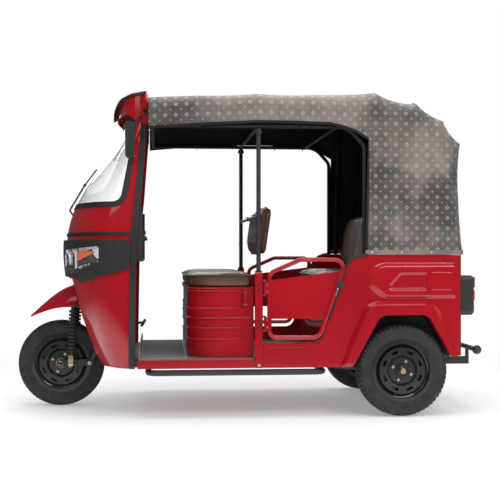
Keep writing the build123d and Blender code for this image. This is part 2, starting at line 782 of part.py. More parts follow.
def plan_face(x_front, half_w, front_r, corner_r, inset):
    """Plan outline: side, corner arc, front arc, corner arc, side, all moved in by inset."""
    w, rf, rc = half_w - inset, front_r - inset, corner_r - inset
    x0 = x_front + inset
    xk = x0 + rf - math.sqrt((rf - rc) ** 2 - (w - rc) ** 2)
    share = rf / (rf - rc)
    tx, ty = x0 + rf + (xk - x0 - rf) * share, (w - rc) * share
    mid = (math.pi / 2 + math.atan2(w - rc, x0 + rf - xk)) / 2
    mx, my = xk - rc * math.cos(mid), w - rc + rc * math.sin(mid)
    near, far = (xk, -w), (xk, w)
    return make_face([Line((NOSE_BACK_X, -w), near), ThreePointArc(near, (mx, -my), (tx, -ty)),
                      ThreePointArc((tx, -ty), (x0, 0), (tx, ty)), ThreePointArc((tx, ty), (mx, my), far),
                      Line(far, (NOSE_BACK_X, w)), Line((NOSE_BACK_X, w), (NOSE_BACK_X, -w))])


def nose_row(row):
    """Height, front x, half width and arc radii of one nose section."""
    up, back, out, front, corner = row
    return (NOSE_LOW_Z + NOSE_H * up, NOSE_FRONT_X + NOSE_RUN * back, NOSE_HALF_W * out,
            FRONT_ARC_R * front,
            CORNER_ARC_R * corner)


def nose_form(inset):
    """The smooth body of nose, scuttle and windshield, moved in by inset, or out where it is negative."""
    sections = []
    for row in NOSE_SHARES:
        z, x, w, front, corner = nose_row(row)
        sections.append(Location((0, 0, z)) * plan_face(x, w, front, corner, inset))
    return loft(sections)


def nose_x(z, y):
    """Where the nose's front arc lies at a height and a distance from the middle."""
    rows = [nose_row(row) for row in NOSE_SHARES]
    for low, high in zip(rows, rows[1:]):
        if z <= high[0]:
            part = (z - low[0]) / (high[0] - low[0])
            x = low[1] + (high[1] - low[1]) * part
            arc = low[3] + (high[3] - low[3]) * part
            return x + arc - math.sqrt(arc ** 2 - y ** 2)
    return rows[-1][1]


def pillar_line():
    """The cowl's rear edge in side view."""
    return side_points(PILLAR_SHARES, (PILLAR_X, NOSE_LOW_Z), (PILLAR_RUN, NOSE_H))


def open_region(inset):
    """Side view region of the windshield opening, moved in by inset."""
    line = side_points(OPEN_SHARES, (OPEN_X - inset, OPEN_LOW_Z + inset), (OPEN_RUN, OPEN_H - 2 * inset))
    far = PEAK_FRONT_X
    points = [(far, line[0][1]), *line, (far, line[-1][1])]
    radii = [0, OPEN_LOW_R - inset, OPEN_LOW_R, OPEN_TOP_R - inset, 0]
    return side_prism(points, -SIDE_Y, SIDE_Y, radii)


def make_nose():
    """The cowl's shell, the windshield's glass and the rubber seal that grips it."""
    top_z, back = NOSE_LOW_Z + NOSE_H + OVERRUN, NOSE_BACK_X + OVERRUN
    line = pillar_line()
    behind = side_prism([(line[0][0], NOSE_LOW_Z - OVERRUN), *line, (line[-1][0], top_z), (back, top_z),
                         (back, NOSE_LOW_Z - OVERRUN)], -SIDE_Y, SIDE_Y)
    gap_line = side_points(GAP_SHARES, (GAP_X, GAP_LOW_Z), (GAP_RUN, GAP_RISE))
    gap = side_prism([(PEAK_FRONT_X, gap_line[0][1]), *gap_line, (PEAK_FRONT_X, gap_line[-1][1])],
                     -SIDE_Y, SIDE_Y)
    cowl = nose_form(0) - nose_form(COWL_T) - behind - gap - open_region(0)
    glass = (nose_form(GLASS_SINK) - nose_form(GLASS_SINK + GLASS_T)) & open_region(SEAL_GRIP)
    seal = (nose_form(-SEAL_PROUD) - nose_form(SEAL_DEPTH)) & (open_region(SEAT_GAP)
                                                               - open_region(SEAL_W))
    return cowl, glass, seal - glass


def make_trims():
    """Rubber trims down both pillars, joined round the nose by the belt strip."""
    line = pillar_line()
    front = [(x - TRIM_W, z) for x, z in reversed(line)]
    strip = side_prism([*line, *front], -SIDE_Y, SIDE_Y)
    belt_end = PILLAR_X - TRIM_W / 2
    strip += box(PEAK_FRONT_X, belt_end, -SIDE_Y, SIDE_Y, BELT_Z - BELT_H / 2, BELT_Z + BELT_H / 2)
    return (nose_form(-TRIM_PROUD) - nose_form(-SEAT_GAP)) & strip


def make_lamps():
    """Headlamp panel with its two lamp recesses, and the lamps in them."""
    points = side_points(PANEL_SHARES, (PANEL_X, PANEL_LOW_Z), (PANEL_RUN, PANEL_H))
    outline = [(PEAK_FRONT_X, points[0][1]), *points, (PEAK_FRONT_X, points[-1][1])]
    base = nose_form(-SEAT_GAP)
    panel = (nose_form(-PANEL_PROUD) - base) & side_prism(outline, -SIDE_Y, SIDE_Y, [0, *PANEL_RADII, 0])
    lens = side_points(LAMP_SHARES, (LAMP_X, LAMP_LOW_Z), (LAMP_RUN, LAMP_H))
    cut = mirrored(side_prism(lens, -SIDE_Y, -LAMP_IN_Y, LAMP_CORNER_R))
    return panel - cut, (nose_form(-PANEL_PROUD - LAMP_PROUD) - base) & cut


def peak_plan(inset):
    """The roof peak's plan, run up through its height."""
    low, top = PEAK_LOW_Z - OVERRUN, PEAK_LOW_Z + PEAK_H + OVERRUN
    face = plan_face(PEAK_X, PEAK_HALF_W, PEAK_ARC_R, PEAK_CORNER_R, inset)
    return extrude(Location((0, 0, low)) * face, amount=top - low)


def peak_region(lift, closed):
    """Side view of the peak below its top line moved up by lift, down to its lower edge or through."""
    size = (PEAK_END_X - PEAK_X, PEAK_H)
    top = side_points(PEAK_TOP_SHARES, (PEAK_X, PEAK_LOW_Z + lift), size)
    if closed:
        return side_prism([*top, *side_points(PEAK_LOW_SHARES, (PEAK_X, PEAK_LOW_Z), size)], -SIDE_Y,
                          SIDE_Y)
    low = PEAK_LOW_Z - OVERRUN
    back = PEAK_END_X + OVERRUN
    outline = [(PEAK_FRONT_X, low), (PEAK_FRONT_X, top[0][1]), *top, (back, top[-1][1]), (back, low)]
    return side_prism(outline, -SIDE_Y, SIDE_Y)


def make_peak():
    """Red roof peak over the windshield, with a hoop at its rear, and the black visor lip round its front."""
    clear = nose_form(-TRIM_PROUD - SEAT_GAP)
    body = peak_plan(VISOR_W) & peak_region(PEAK_CROWN, True)
    hollow = peak_plan(VISOR_W + PEAK_T) & peak_region(PEAK_CROWN - PEAK_T, False)
    hoop_x = PEAK_END_X - PEAK_HOOP_W
    rim = canopy_section(-PEAK_HOOP_RISE / 2) - canopy_section(PEAK_HOOP_RISE / 2)
    hoop_z = PEAK_LOW_Z + PEAK_H - PEAK_HOOP_H
    top_z = PEAK_LOW_Z + PEAK_H + PEAK_HOOP_RISE
    hoop = rim & box(hoop_x, PEAK_END_X, -SIDE_Y - OVERRUN, SIDE_Y + OVERRUN, hoop_z, top_z)
    peak = body - hollow - clear
    lip = ((peak_plan(0) - peak_plan(VISOR_W - SEAT_GAP)) & peak_region(0, True)) - peak_region(-VISOR_T,
                                                                                                False) - clear
    return peak + hoop, lip & box(PEAK_FRONT_X, hoop_x - SEAT_GAP, -SIDE_Y, SIDE_Y, PEAK_LOW_Z, top_z)


# Cab

def make_bulkhead():
    """Front bulkhead across the inside of the cowl, behind the steering head, with a foot on the floor."""
    floor_z = SILL_TOP_Z - FLOOR_T
    wall = box(BULKHEAD_X, BULKHEAD_X + BULKHEAD_T, -SIDE_Y, SIDE_Y, floor_z, DASH_LOW_Z)
    foot = box(BULKHEAD_X, FLOOR_X - SEAT_GAP, -SIDE_Y, SIDE_Y, floor_z, SILL_TOP_Z)
    return (wall + foot) & nose_form(COWL_T + SEAT_GAP)


def make_dash():
    """Two open glove boxes beside the steering column, a shelf between them and a cheek up each pillar."""
    inside = nose_form(COWL_T + SEAT_GAP)
    low = DASH_LOW_Z + SEAT_GAP
    block = box(DASH_X, DASH_BACK_X, -SIDE_Y, SIDE_Y, low, DASH_TOP_Z)
    hollow = box(DASH_X + DASH_WALL, DASH_BACK_X + OVERRUN, -SIDE_Y, SIDE_Y, low + DASH_WALL, DASH_TOP_Z
                 - DASH_WALL)
    hollow &= nose_form(COWL_T + DASH_WALL)
    hollow -= box(DASH_X, DASH_BACK_X + OVERRUN, -DASH_GAP_Y - DASH_WALL, DASH_GAP_Y + DASH_WALL, low,
                  DASH_TOP_Z)
    slot = box(DASH_X - OVERRUN, DASH_BACK_X + OVERRUN, -DASH_GAP_Y, DASH_GAP_Y, low + DASH_WALL,
               DASH_TOP_Z + OVERRUN)
    cheek = box(BULKHEAD_X + BULKHEAD_T, DASH_BACK_X, -SIDE_Y, SIDE_Y, low, DASH_CHEEK_TOP_Z)
    cheek -= nose_form(COWL_T + DASH_CHEEK_W)
    return ((block - hollow - slot) + cheek) & inside


def make_pedal():
    """Brake pedal on a short arm from the bulkhead."""
    start_x = BULKHEAD_X + BULKHEAD_T + SEAT_GAP
    arm = rod((start_x, PEDAL_Y, PEDAL_Z), (PEDAL_X, PEDAL_Y, PEDAL_Z), PEDAL_ARM_R)
    return arm + Location((PEDAL_X, PEDAL_Y, PEDAL_Z), (0, PEDAL_TILT, 0)) * Box(*PEDAL_PAD)


def make_mirror():
    """Left mirror: a long rounded head, hung on a short arm from the roof peak."""
    y = -NOSE_HALF_W - MIRROR_GAP_Y - MIRROR_T
    head = Location((MIRROR_X, y, MIRROR_Z)) * Box(MIRROR_L, MIRROR_T, MIRROR_H)
    head = fillet(head.edges().filter_by(Axis.Y), MIRROR_CORNER_R)
    wall_y = -PEAK_HALF_W + VISOR_W - SEAT_GAP
    knee = (MIRROR_ARM_X, y, MIRROR_ARM_Z)
    arm = tube_path([(MIRROR_ARM_X, wall_y, MIRROR_ARM_Z), knee, (MIRROR_X, y, MIRROR_Z)],
                    MIRROR_CORNER_R, MIRROR_ARM_R)
    return head + arm


def make_wiper():
    """Wiper: a hub under the glass, a lifted arm and the blade across the glass."""
    hub_x = nose_x(WIPER_PIVOT_Z, 0)
    knee = (nose_x(WIPER_KNEE_Z, 0) - WIPER_KNEE_OUT, 0, WIPER_KNEE_Z)
    tip = (nose_x(WIPER_TIP_Z, WIPER_TIP_Y) - WIPER_LIFT, -WIPER_TIP_Y, WIPER_TIP_Z)
    blade_top = (nose_x(WIPER_BLADE_Z, WIPER_BLADE_Y) - WIPER_BLADE_LIFT, -WIPER_BLADE_Y, WIPER_BLADE_Z)
    shape = tube_path([(hub_x, 0, WIPER_PIVOT_Z), knee, tip], WIPER_KNEE_OUT / 2, WIPER_R)
    shape += rod(tip, blade_top, WIPER_BLADE_R)
    shape += Location(tip) * Sphere(WIPER_HUB_R)
    return shape - nose_form(-SEAT_GAP)


# Floor and seats

def make_floor():
    """Floor sheet with its side sills turned down, notched round the posts and inside the tub."""
    low, top = SILL_LOW_Z - OVERRUN, SILL_TOP_Z + OVERRUN
    pan = box(FLOOR_X, FLOOR_END_X, -SIDE_Y, SIDE_Y, SILL_TOP_Z - FLOOR_T, SILL_TOP_Z)
    flange = box(FLOOR_X, POST_X - SEAT_GAP, -SIDE_Y, -SIDE_Y + FLOOR_T, SILL_LOW_Z, SILL_TOP_Z)
    post = box(POST_X - SEAT_GAP, POST_X + POST_W + SEAT_GAP, -SIDE_Y, -POST_IN_Y + SEAT_GAP, low, top)
    tub = box(POST_X - SEAT_GAP, FLOOR_END_X, -SIDE_Y, -SIDE_Y + SIDE_T + SEAT_GAP, low, top)
    return pan + mirrored(flange) - mirrored(post + tub)


def make_mat():
    """Rubber mat over the whole floor, turned up at the toe board."""
    low = SILL_TOP_Z + SEAT_GAP
    top = SILL_TOP_Z + MAT_T
    x0, rear_y = FLOOR_X + MAT_EDGE, SIDE_Y - SIDE_T - MAT_EDGE
    front_y = SIDE_Y - MAT_EDGE
    mat = box(x0, POST_X + MAT_EDGE, -front_y, front_y, low, top)
    mat += box(POST_X, BENCH_X + BENCH_TOE - MAT_EDGE, -rear_y, rear_y, low, top)
    lip = box(x0, x0 + MAT_LIP_T, -front_y, front_y, low, top + MAT_LIP_H)
    lip = fillet(lip.edges().filter_by(Axis.X).group_by(Axis.Z)[-1], MAT_LIP_H / 2)
    notch = box(POST_X - MAT_EDGE, POST_X + POST_W + MAT_EDGE, -SIDE_Y, -POST_IN_Y + MAT_EDGE, low
                - OVERRUN, top + OVERRUN)
    return mat + lip - mirrored(notch)


def seat_plan(out, z0, z1, x1):
    """The driver's seat in plan, with round front corners, grown by out and run from z0 to z1."""
    w, r, x0 = SEAT_HALF_W + out, SEAT_CORNER_R + out, SEAT_X - out
    corners = [(x1, -w), (x0, -w), (x0, w), (x1, w)]
    outline = FilletPolyline(*corners, radius=[0, r, r, 0], close=True)
    return extrude(Location((0, 0, z0)) * make_face(outline), amount=z1 - z0)


def make_seat_base():
    """Driver's seat base: an open box with a rolled top rim, pressed ribs and a toggle latch on its left."""
    x1, z0 = POST_X - SEAT_BACK_GAP, SILL_TOP_Z + MAT_T + SEAT_GAP
    base = seat_plan(0, z0, SEAT_TOP_Z, x1) + seat_plan(SEAT_RIM_OUT, SEAT_TOP_Z - SEAT_RIM_H,
                                                        SEAT_TOP_Z, x1)
    for low, high in RIB_Z:
        ring = seat_plan(OVERRUN, low, high, x1 - RIB_BACK_INSET) - seat_plan(-RIB_DEPTH, low, high, x1)
        base -= ring
    base -= seat_plan(-SEAT_WALL, z0 + SEAT_WALL, SEAT_TOP_Z + OVERRUN, x1 - SEAT_WALL)
    latch = box(LATCH_X, LATCH_X + LATCH_W, -SEAT_HALF_W - LATCH_T, -SEAT_HALF_W + RIB_DEPTH, LATCH_Z,
                LATCH_Z + LATCH_H)
    return base + latch


def make_driver_cushion():
    """Driver's cushion, which rests on the base's rim and lifts about its front lower edge."""
    z0 = SEAT_TOP_Z + SEAT_GAP
    pad = seat_plan(CUSHION_OUT, z0, z0 + CUSHION_H, POST_X - SEAT_BACK_GAP)
    return fillet(pad.edges().group_by(Axis.Z)[-1], CUSHION_EDGE_R)


def backrest_place():
    """Where the leaning backrest pad's middle lies."""
    return Location((POST_X + POST_W / 2 + BACKREST_SETBACK, 0, BACKREST_Z), (0, BACKREST_LEAN, 0))


def make_backrest():
    """Driver's backrest pad, hung behind the crossbar."""
    pad = Box(BACKREST_T, BACKREST_W, BACKREST_H)
    return backrest_place() * fillet(pad.edges().filter_by(Axis.X), BACKREST_CORNER_R)


def make_posts():
    """Red square posts at the partition, with bevelled tops."""
    post = box(POST_X, POST_X + POST_W, -POST_OUT_Y, -POST_IN_Y, SILL_LOW_Z, POST_TOP_Z)
    return both_sides(chamfer(post.edges().group_by(Axis.Z)[-1], POST_CAP_BEVEL))


def make_poles():
    """Black poles up to the roof rails, and the crossbar with two lugs that carries the backrest."""
    x = POST_X + POST_W / 2
    foot = POST_TOP_Z + SEAT_GAP
    pole = rod((x, -POLE_Y, foot), (x, -POLE_Y, RAIL_Z - TUBE_R - SEAT_GAP), POLE_R)
    pole += rod((x, -POLE_Y, foot), (x, -POLE_Y, foot + POLE_FLANGE_T), POLE_FLANGE_R)
    face = -BACKREST_T / 2 - SEAT_GAP
    up = CROSSBAR_Z - BACKREST_Z
    lug = box(face - LUG_L, face, -LUG_Y - LUG_W / 2, -LUG_Y + LUG_W / 2, up - LUG_H / 2, up + LUG_H / 2)
    bar = rod((x, -POLE_Y, CROSSBAR_Z), (x, POLE_Y, CROSSBAR_Z), CROSSBAR_R)
    return mirrored(pole) + bar + backrest_place() * mirrored(lug)


def make_bench():
    """The passenger bench's board, cushion and leaning back."""
    x0 = BENCH_X + BENCH_TOE
    board = box(x0, x0 + BENCH_PANEL_T, -BENCH_HALF_W, BENCH_HALF_W, SILL_TOP_Z + SEAT_GAP, BENCH_TOP_Z)
    board += box(x0, BENCH_SHELF_END_X, -BENCH_HALF_W, BENCH_HALF_W, BENCH_TOP_Z - BENCH_PANEL_T,
                 BENCH_TOP_Z)
    cushion = box(BENCH_X, BENCH_CUSHION_END_X, -BENCH_HALF_W, BENCH_HALF_W, BENCH_TOP_Z + SEAT_GAP,
                  BENCH_CUSHION_TOP_Z)
    cushion = fillet(cushion.edges().group_by(Axis.Z)[-1], BENCH_EDGE_R)
    z0 = BENCH_CUSHION_TOP_Z + SEAT_GAP
    lean = math.tan(math.radians(BACK_LEAN)) * (BACK_TOP_Z - z0)
    profile = [(BACK_X, z0), (BACK_X + lean, BACK_TOP_Z), (BACK_X + lean + BACK_T, BACK_TOP_Z),
               (BACK_X + BACK_T, z0)]
    back = side_prism(profile, -BENCH_HALF_W, BENCH_HALF_W)
    return board, cushion, fillet(back.edges().group_by(Axis.Z)[-1].filter_by(Axis.X), BACK_CORNER_R)


# Tub

def arch_points(front, front_top, rear_top, rear, low_z, top_z):
    """A wheel arch outline in side view, open below, from its front foot over the top."""
    return [(WHEELBASE + front, low_z), (WHEELBASE + front_top, top_z), (WHEELBASE + rear_top, top_z),
            (WHEELBASE + rear, low_z)]


def arch_opening(grow):
    """The wheel arch opening's outline, grown by this much."""
    low = SILL_LOW_Z - OVERRUN
    return arch_points(ARCH_FRONT_X - grow, ARCH_FRONT_TOP_X - grow, ARCH_REAR_TOP_X + grow, ARCH_REAR_X
                       + grow, low, ARCH_TOP_Z + grow)


def pressing(points, radii, depth):
    """A tapered pressing into the left side wall, as the piece to cut away."""
    face = Location((0, -SIDE_Y - SEAT_GAP, 0)) * side_face(points, radii)
    return extrude(face, amount=depth + SEAT_GAP, dir=(0, 1, 0), taper=PRESS_TAPER)


def make_side():
    """Left tub wall: doorway edge, sill, wheel arch with its raised flare, and the side's pressings."""
    corner = TUB_CORNER_R
    y_in = -SIDE_Y + SIDE_T
    x_in = TUB_END_X - SIDE_T
    end_y = -SIDE_Y + corner + TUB_RETURN
    outline = [(TUB_X, -SIDE_Y), (TUB_END_X, -SIDE_Y), (TUB_END_X, end_y), (x_in, end_y), (x_in, y_in),
               (TUB_X, y_in)]
    plan = make_face(FilletPolyline(*outline, radius=[0, corner, 0, 0, corner - SIDE_T, 0], close=True))
    wall = extrude(Location((0, 0, SILL_LOW_Z)) * plan, amount=TUB_TOP_Z - SILL_LOW_Z)
    front, above = TUB_X - OVERRUN, TUB_TOP_Z + OVERRUN
    edge_end = DOORWAY_TOP_X + 2 * DOORWAY_TOP_R
    doorway = side_prism([(front, TUB_LOW_Z), (DOORWAY_LOW_X, TUB_LOW_Z), (DOORWAY_TOP_X, TUB_TOP_Z),
                          (edge_end, TUB_TOP_Z),
                          (edge_end, above), (front, above)], -SIDE_Y - OVERRUN, y_in + OVERRUN,
                         [0, DOORWAY_LOW_R, DOORWAY_TOP_R, 0, 0, 0])
    flare_points = arch_points(FLARE_FRONT_X, FLARE_FRONT_TOP_X, FLARE_REAR_TOP_X, FLARE_REAR_X,
                               SILL_LOW_Z, FLARE_TOP_Z)
    flare_face = Location((0, y_in, 0)) * side_face(flare_points, [0, FLARE_R, FLARE_R, 0])
    flare = extrude(flare_face, amount=SIDE_T, dir=(0, -1, 0))
    bulge = Location((0, -SIDE_Y, 0)) * side_face(flare_points, [0, FLARE_R, FLARE_R, 0])
    flare += extrude(bulge, amount=FLARE_PROUD, dir=(0, -1, 0), taper=FLARE_TAPER)
    tail = box(WHEELBASE, TUB_END_X + OVERRUN, -SIDE_Y - 2 * OVERRUN, 0, SILL_LOW_Z - OVERRUN, TUB_TAIL_Z)
    arch = side_prism(arch_opening(0), -SIDE_Y - 2 * OVERRUN, 0, [0, ARCH_R, ARCH_R, 0])
    return wall - doorway - make_pressings() + make_flap() + flare - arch - tail


def make_pressings():
    """The recess along the side, the scoop inside it and the sill's panel, as pieces to cut away."""
    nose_z = RECESS_LOW_Z + (RECESS_TOP_Z - RECESS_LOW_Z) / 2
    nose_x0 = RECESS_X + (RECESS_END_X - RECESS_X) * RECESS_NOSE_SHARE
    recess = pressing([(RECESS_X, nose_z), (nose_x0, RECESS_LOW_Z), (RECESS_END_X, RECESS_LOW_Z),
                       (RECESS_END_X, RECESS_TOP_Z),
                       (nose_x0, RECESS_TOP_Z)], [RECESS_R, RECESS_NOSE_R, RECESS_R, RECESS_R,
                                                  RECESS_NOSE_R], PRESS_DEPTH)
    scoop_x0 = SCOOP_X + (SCOOP_END_X - SCOOP_X) * SCOOP_SHARE
    scoop = pressing([(SCOOP_X, SCOOP_LOW_Z), (SCOOP_END_X, SCOOP_LOW_Z), (SCOOP_END_X, SCOOP_TOP_Z),
                      (scoop_x0, SCOOP_TOP_Z)],
                     [SCOOP_R, SCOOP_R, SCOOP_R, SCOOP_R], 2 * PRESS_DEPTH)
    sill = pressing([(SILL_PRESS_X, SILL_PRESS_LOW_Z), (SILL_PRESS_END_X, SILL_PRESS_LOW_Z),
                     (SILL_PRESS_END_X, SILL_PRESS_TOP_Z),
                     (SILL_PRESS_X, SILL_PRESS_TOP_Z)], SILL_PRESS_R, SILL_PRESS_DEPTH)
    return recess + scoop + sill


def make_flap():
    """The square flap that stands a little out of the recess."""
    y0 = -SIDE_Y + PRESS_DEPTH + FLAP_PROUD
    return side_prism([(FLAP_X, FLAP_LOW_Z), (FLAP_END_X, FLAP_LOW_Z), (FLAP_END_X, FLAP_TOP_Z),
                       (FLAP_X, FLAP_TOP_Z)],
                      y0 - 2 * FLAP_PROUD, y0, FLAP_R)


def make_housing():
    """Left wheel housing: an arched lining with an inner wall above the arm."""
    y_out, y_in = -SIDE_Y + SIDE_T + SEAT_GAP, -HOUSING_IN_Y
    outer, inner = ARCH_R + HOUSING_T, ARCH_R
    shell = side_prism(arch_opening(HOUSING_T), y_out, y_in, [0, outer, outer, 0])
    shell -= side_prism(arch_opening(0), y_out - OVERRUN, y_in - HOUSING_T, [0, inner, inner, 0])
    below = box(TUB_X, TUB_END_X + OVERRUN, y_out - OVERRUN, y_in + OVERRUN, 0, SILL_TOP_Z)
    half = HOUSING_ARM_HALF_L
    arm = box(WHEELBASE - half, WHEELBASE + half, y_in - OVERRUN, y_in + OVERRUN, 0, HOUSING_ARM_TOP_Z)
    heel = box(TUB_END_X - TUB_CORNER_R - HOUSING_T, TUB_END_X, -SIDE_Y, y_out + HOUSING_T + OVERRUN, 0,
               TUB_LOW_Z)
    return shell - below - arm - heel


def make_rear_panel():
    """Rear wall between the tub's corners, with a stepped opening for the engine lid and two bolt holes."""
    y = SIDE_Y - TUB_CORNER_R - TUB_RETURN - SEAT_GAP
    x0, x1 = TUB_END_X - SIDE_T, TUB_END_X
    panel = box(x0, x1, -y, y, TUB_TAIL_Z, TUB_TOP_Z)
    hole = box(x1 - LID_T - SEAT_GAP, x1 + OVERRUN, -LID_HALF_W, LID_HALF_W, LID_LOW_Z, LID_TOP_Z)
    stop_y = LID_HALF_W - LID_STOP
    hole += box(x0 - OVERRUN, x1, -stop_y, stop_y, LID_LOW_Z + LID_STOP, LID_TOP_Z - LID_STOP)
    bolt = rod((x0 - OVERRUN, -PLATE_PITCH / 2, PLATE_Z), (x1 + OVERRUN, -PLATE_PITCH / 2, PLATE_Z),
               PLATE_HOLE_R)
    return panel - hole - mirrored(bolt)


def make_lid():
    """Engine lid in the rear panel's opening, with louvres, hinged along its top edge."""
    half = LID_HALF_W - LID_GAP
    lid = box(TUB_END_X - LID_T, TUB_END_X, -half, half, LID_LOW_Z + LID_GAP, LID_TOP_Z - LID_GAP)
    for i in range(LOUVRE_COUNT):
        z = LID_LOW_Z + LOUVRE_LOW + LOUVRE_PITCH * i
        lid -= box(TUB_END_X - LID_T - OVERRUN, TUB_END_X + OVERRUN, -LOUVRE_HALF_W, LOUVRE_HALF_W, z, z
                   + LOUVRE_H)
    return lid


def make_tail_lamp():
    """Left tail lamp: a deep rounded case on the rear wall."""
    y0 = -TAIL_LAMP_OUT_Y
    lamp = box(TUB_END_X + SEAT_GAP, TUB_END_X + TAIL_LAMP_DEPTH, y0, y0 + TAIL_LAMP_W, TAIL_LAMP_LOW_Z,
               TAIL_LAMP_LOW_Z + TAIL_LAMP_H)
    lamp = fillet(lamp.edges().filter_by(Axis.X), TAIL_LAMP_R)
    return chamfer(lamp.edges().group_by(Axis.X)[-1], TAIL_LAMP_EDGE)


def make_bumper():
    """Rear bumper bar with ball ends on two brackets from the frame."""
    low = FRAME_TOP_Z - FRAME_RAIL_H + BRACKET_INSET
    y0, y1 = -FRAME_RAIL_Y - BRACKET_HALF_W, -FRAME_RAIL_Y + BRACKET_HALF_W
    end = box(FRAME_END_X + SEAT_GAP, BUMPER_X, y0, y1, low, low + BRACKET_DROP)
    end += box(BUMPER_X - BRACKET_T, BUMPER_X, y0, y1, low, BUMPER_Z)
    end += Location((BUMPER_X, -BUMPER_HALF_W, BUMPER_Z)) * Sphere(BALL_R)
    return mirrored(end) + rod((BUMPER_X, -BUMPER_HALF_W, BUMPER_Z), (BUMPER_X, BUMPER_HALF_W, BUMPER_Z),
                               BUMPER_R)


# Doors

def make_door():
    """Left door: a bent tube loop with a sheet across it and two hinge knuckles."""
    middle_x, low_x = (DOOR_KNEE_X + DOOR_TOP_X) / 2, (DOOR_FRONT_X + DOOR_LOW_X) / 2
    top_z = DOOR_KNEE_Z
    middle, start = (middle_x, -DOOR_Y, top_z), (low_x, -DOOR_Y, DOOR_LOW_Z)
    front = [(DOOR_FRONT_X, -DOOR_Y, DOOR_LOW_Z), (DOOR_FRONT_X, -DOOR_Y, DOOR_SHOULDER_Z),
             (DOOR_KNEE_X, -DOOR_Y, top_z)]
    rear = [(DOOR_TOP_X, -DOOR_Y, top_z), (DOOR_LOW_X, -DOOR_Y, DOOR_LOW_Z)]
    door = tube_path([start, *front, middle], DOOR_BEND_R,
                     DOOR_TUBE_R) + tube_path([middle, *rear, start], DOOR_BEND_R, DOOR_TUBE_R)
    slope = (DOOR_TOP_X - DOOR_LOW_X) / (top_z - DOOR_LOW_Z)
    low_end, top_end = [DOOR_LOW_X + slope * (z - DOOR_LOW_Z) for z in (SHEET_LOW_Z, SHEET_REAR_Z)]
    door += side_prism([(DOOR_FRONT_X, SHEET_LOW_Z), (DOOR_FRONT_X, SHEET_FRONT_Z),
                        (top_end, SHEET_REAR_Z), (low_end, SHEET_LOW_Z)],
                       -DOOR_Y - SHEET_T / 2, -DOOR_Y + SHEET_T / 2)
    half, knuckle_r = HINGE_H / 2, HINGE_PIN_R + HINGE_WALL
    for z in HINGE_Z:
        door += box(HINGE_X, DOOR_FRONT_X, -DOOR_Y - HINGE_WALL, -DOOR_Y + HINGE_WALL, z - half, z + half)
        door += rod((HINGE_X, -DOOR_Y, z - half), (HINGE_X, -DOOR_Y, z + half), knuckle_r)
        door -= rod((HINGE_X, -DOOR_Y, z - HINGE_H), (HINGE_X, -DOOR_Y, z + HINGE_H), HINGE_PIN_R
                    + AXLE_FIT)
    return door


def make_catch():
    """Left door's catch: a small block over the door's rear tube, open towards the tub."""
    x1, z1 = CATCH_X + CATCH_L, CATCH_Z + CATCH_H
    y0 = -DOOR_Y - DOOR_TUBE_R - SEAT_GAP - CATCH_W / 2
    block = box(CATCH_X, x1, y0, y0 + CATCH_W / 2, CATCH_Z, z1)
    return fillet(block.edges().filter_by(Axis.Y), CATCH_W / 4)


def make_hinge_pins():
    """Fixed hinge pins on the left post, each held by a leaf above and below the door's knuckle."""
    pins = []
    for z in HINGE_Z:
        reach = HINGE_H / 2 + HINGE_LUG_GAP
        pin = rod((HINGE_X, -DOOR_Y, z - reach - HINGE_LEAF_T),
                  (HINGE_X, -DOOR_Y, z + reach + HINGE_LEAF_T), HINGE_PIN_R)
        for low in (z + reach, z - reach - HINGE_LEAF_T):
            pin += box(POST_X + POST_W + SEAT_GAP, HINGE_X + HINGE_PIN_R, -DOOR_Y - HINGE_PIN_R,
                       -POST_IN_Y - POST_W / 2, low, low + HINGE_LEAF_T)
        pins.append(pin)
    return Compound([solid for pin in pins for solid in pin.solids()])


# Canopy

def canopy_points():
    """The canopy's top line in side view, from its front edge over the bows and down the back."""
    return side_points(CANOPY_TOP_SHARES, (CANOPY_X, TUB_TOP_Z), (CANOPY_RUN, CANOPY_RISE))


def canopy_points_in(inset):
    """The canopy's top line, each of its points moved square to the line by inset, into the canopy."""
    points = canopy_points()
    moved = []
    for i, (x, z) in enumerate(points):
        before, after = points[max(i - 1, 0)], points[min(i + 1, len(points) - 1)]
        dx, dz = after[0] - before[0], after[1] - before[1]
        length = math.hypot(dx, dz)
        moved.append((x + inset * dz / length, z - inset * dx / length))
    return moved


def canopy_profile(inset, extend):
    """Side view of the canopy with its fabric sagging between the bows, moved in by inset."""
    moved = canopy_points_in(inset)
    moved[0] = (CANOPY_X - extend, moved[0][1])
    low_z = TUB_TOP_Z + SEAT_GAP - extend
    moved[-1] = (moved[-1][0], low_z)
    edges = []
    for (x0, z0), (x1, z1), sag in zip(moved, moved[1:], CANOPY_SAGS):
        if sag:
            length = math.hypot(x1 - x0, z1 - z0)
            middle = ((x0 + x1) / 2 + sag * (z1 - z0) / length, 0, (z0 + z1) / 2
                      - sag * (x1 - x0) / length)
            edges.append(ThreePointArc((x0, 0, z0), middle, (x1, 0, z1)))
        else:
            edges.append(Line((x0, 0, z0), (x1, 0, z1)))
    first, last = moved[0], moved[-1]
    edges.append(Line((last[0], 0, last[1]), (first[0], 0, low_z)))
    edges.append(Line((first[0], 0, low_z), (first[0], 0, first[1])))
    return make_face(edges)


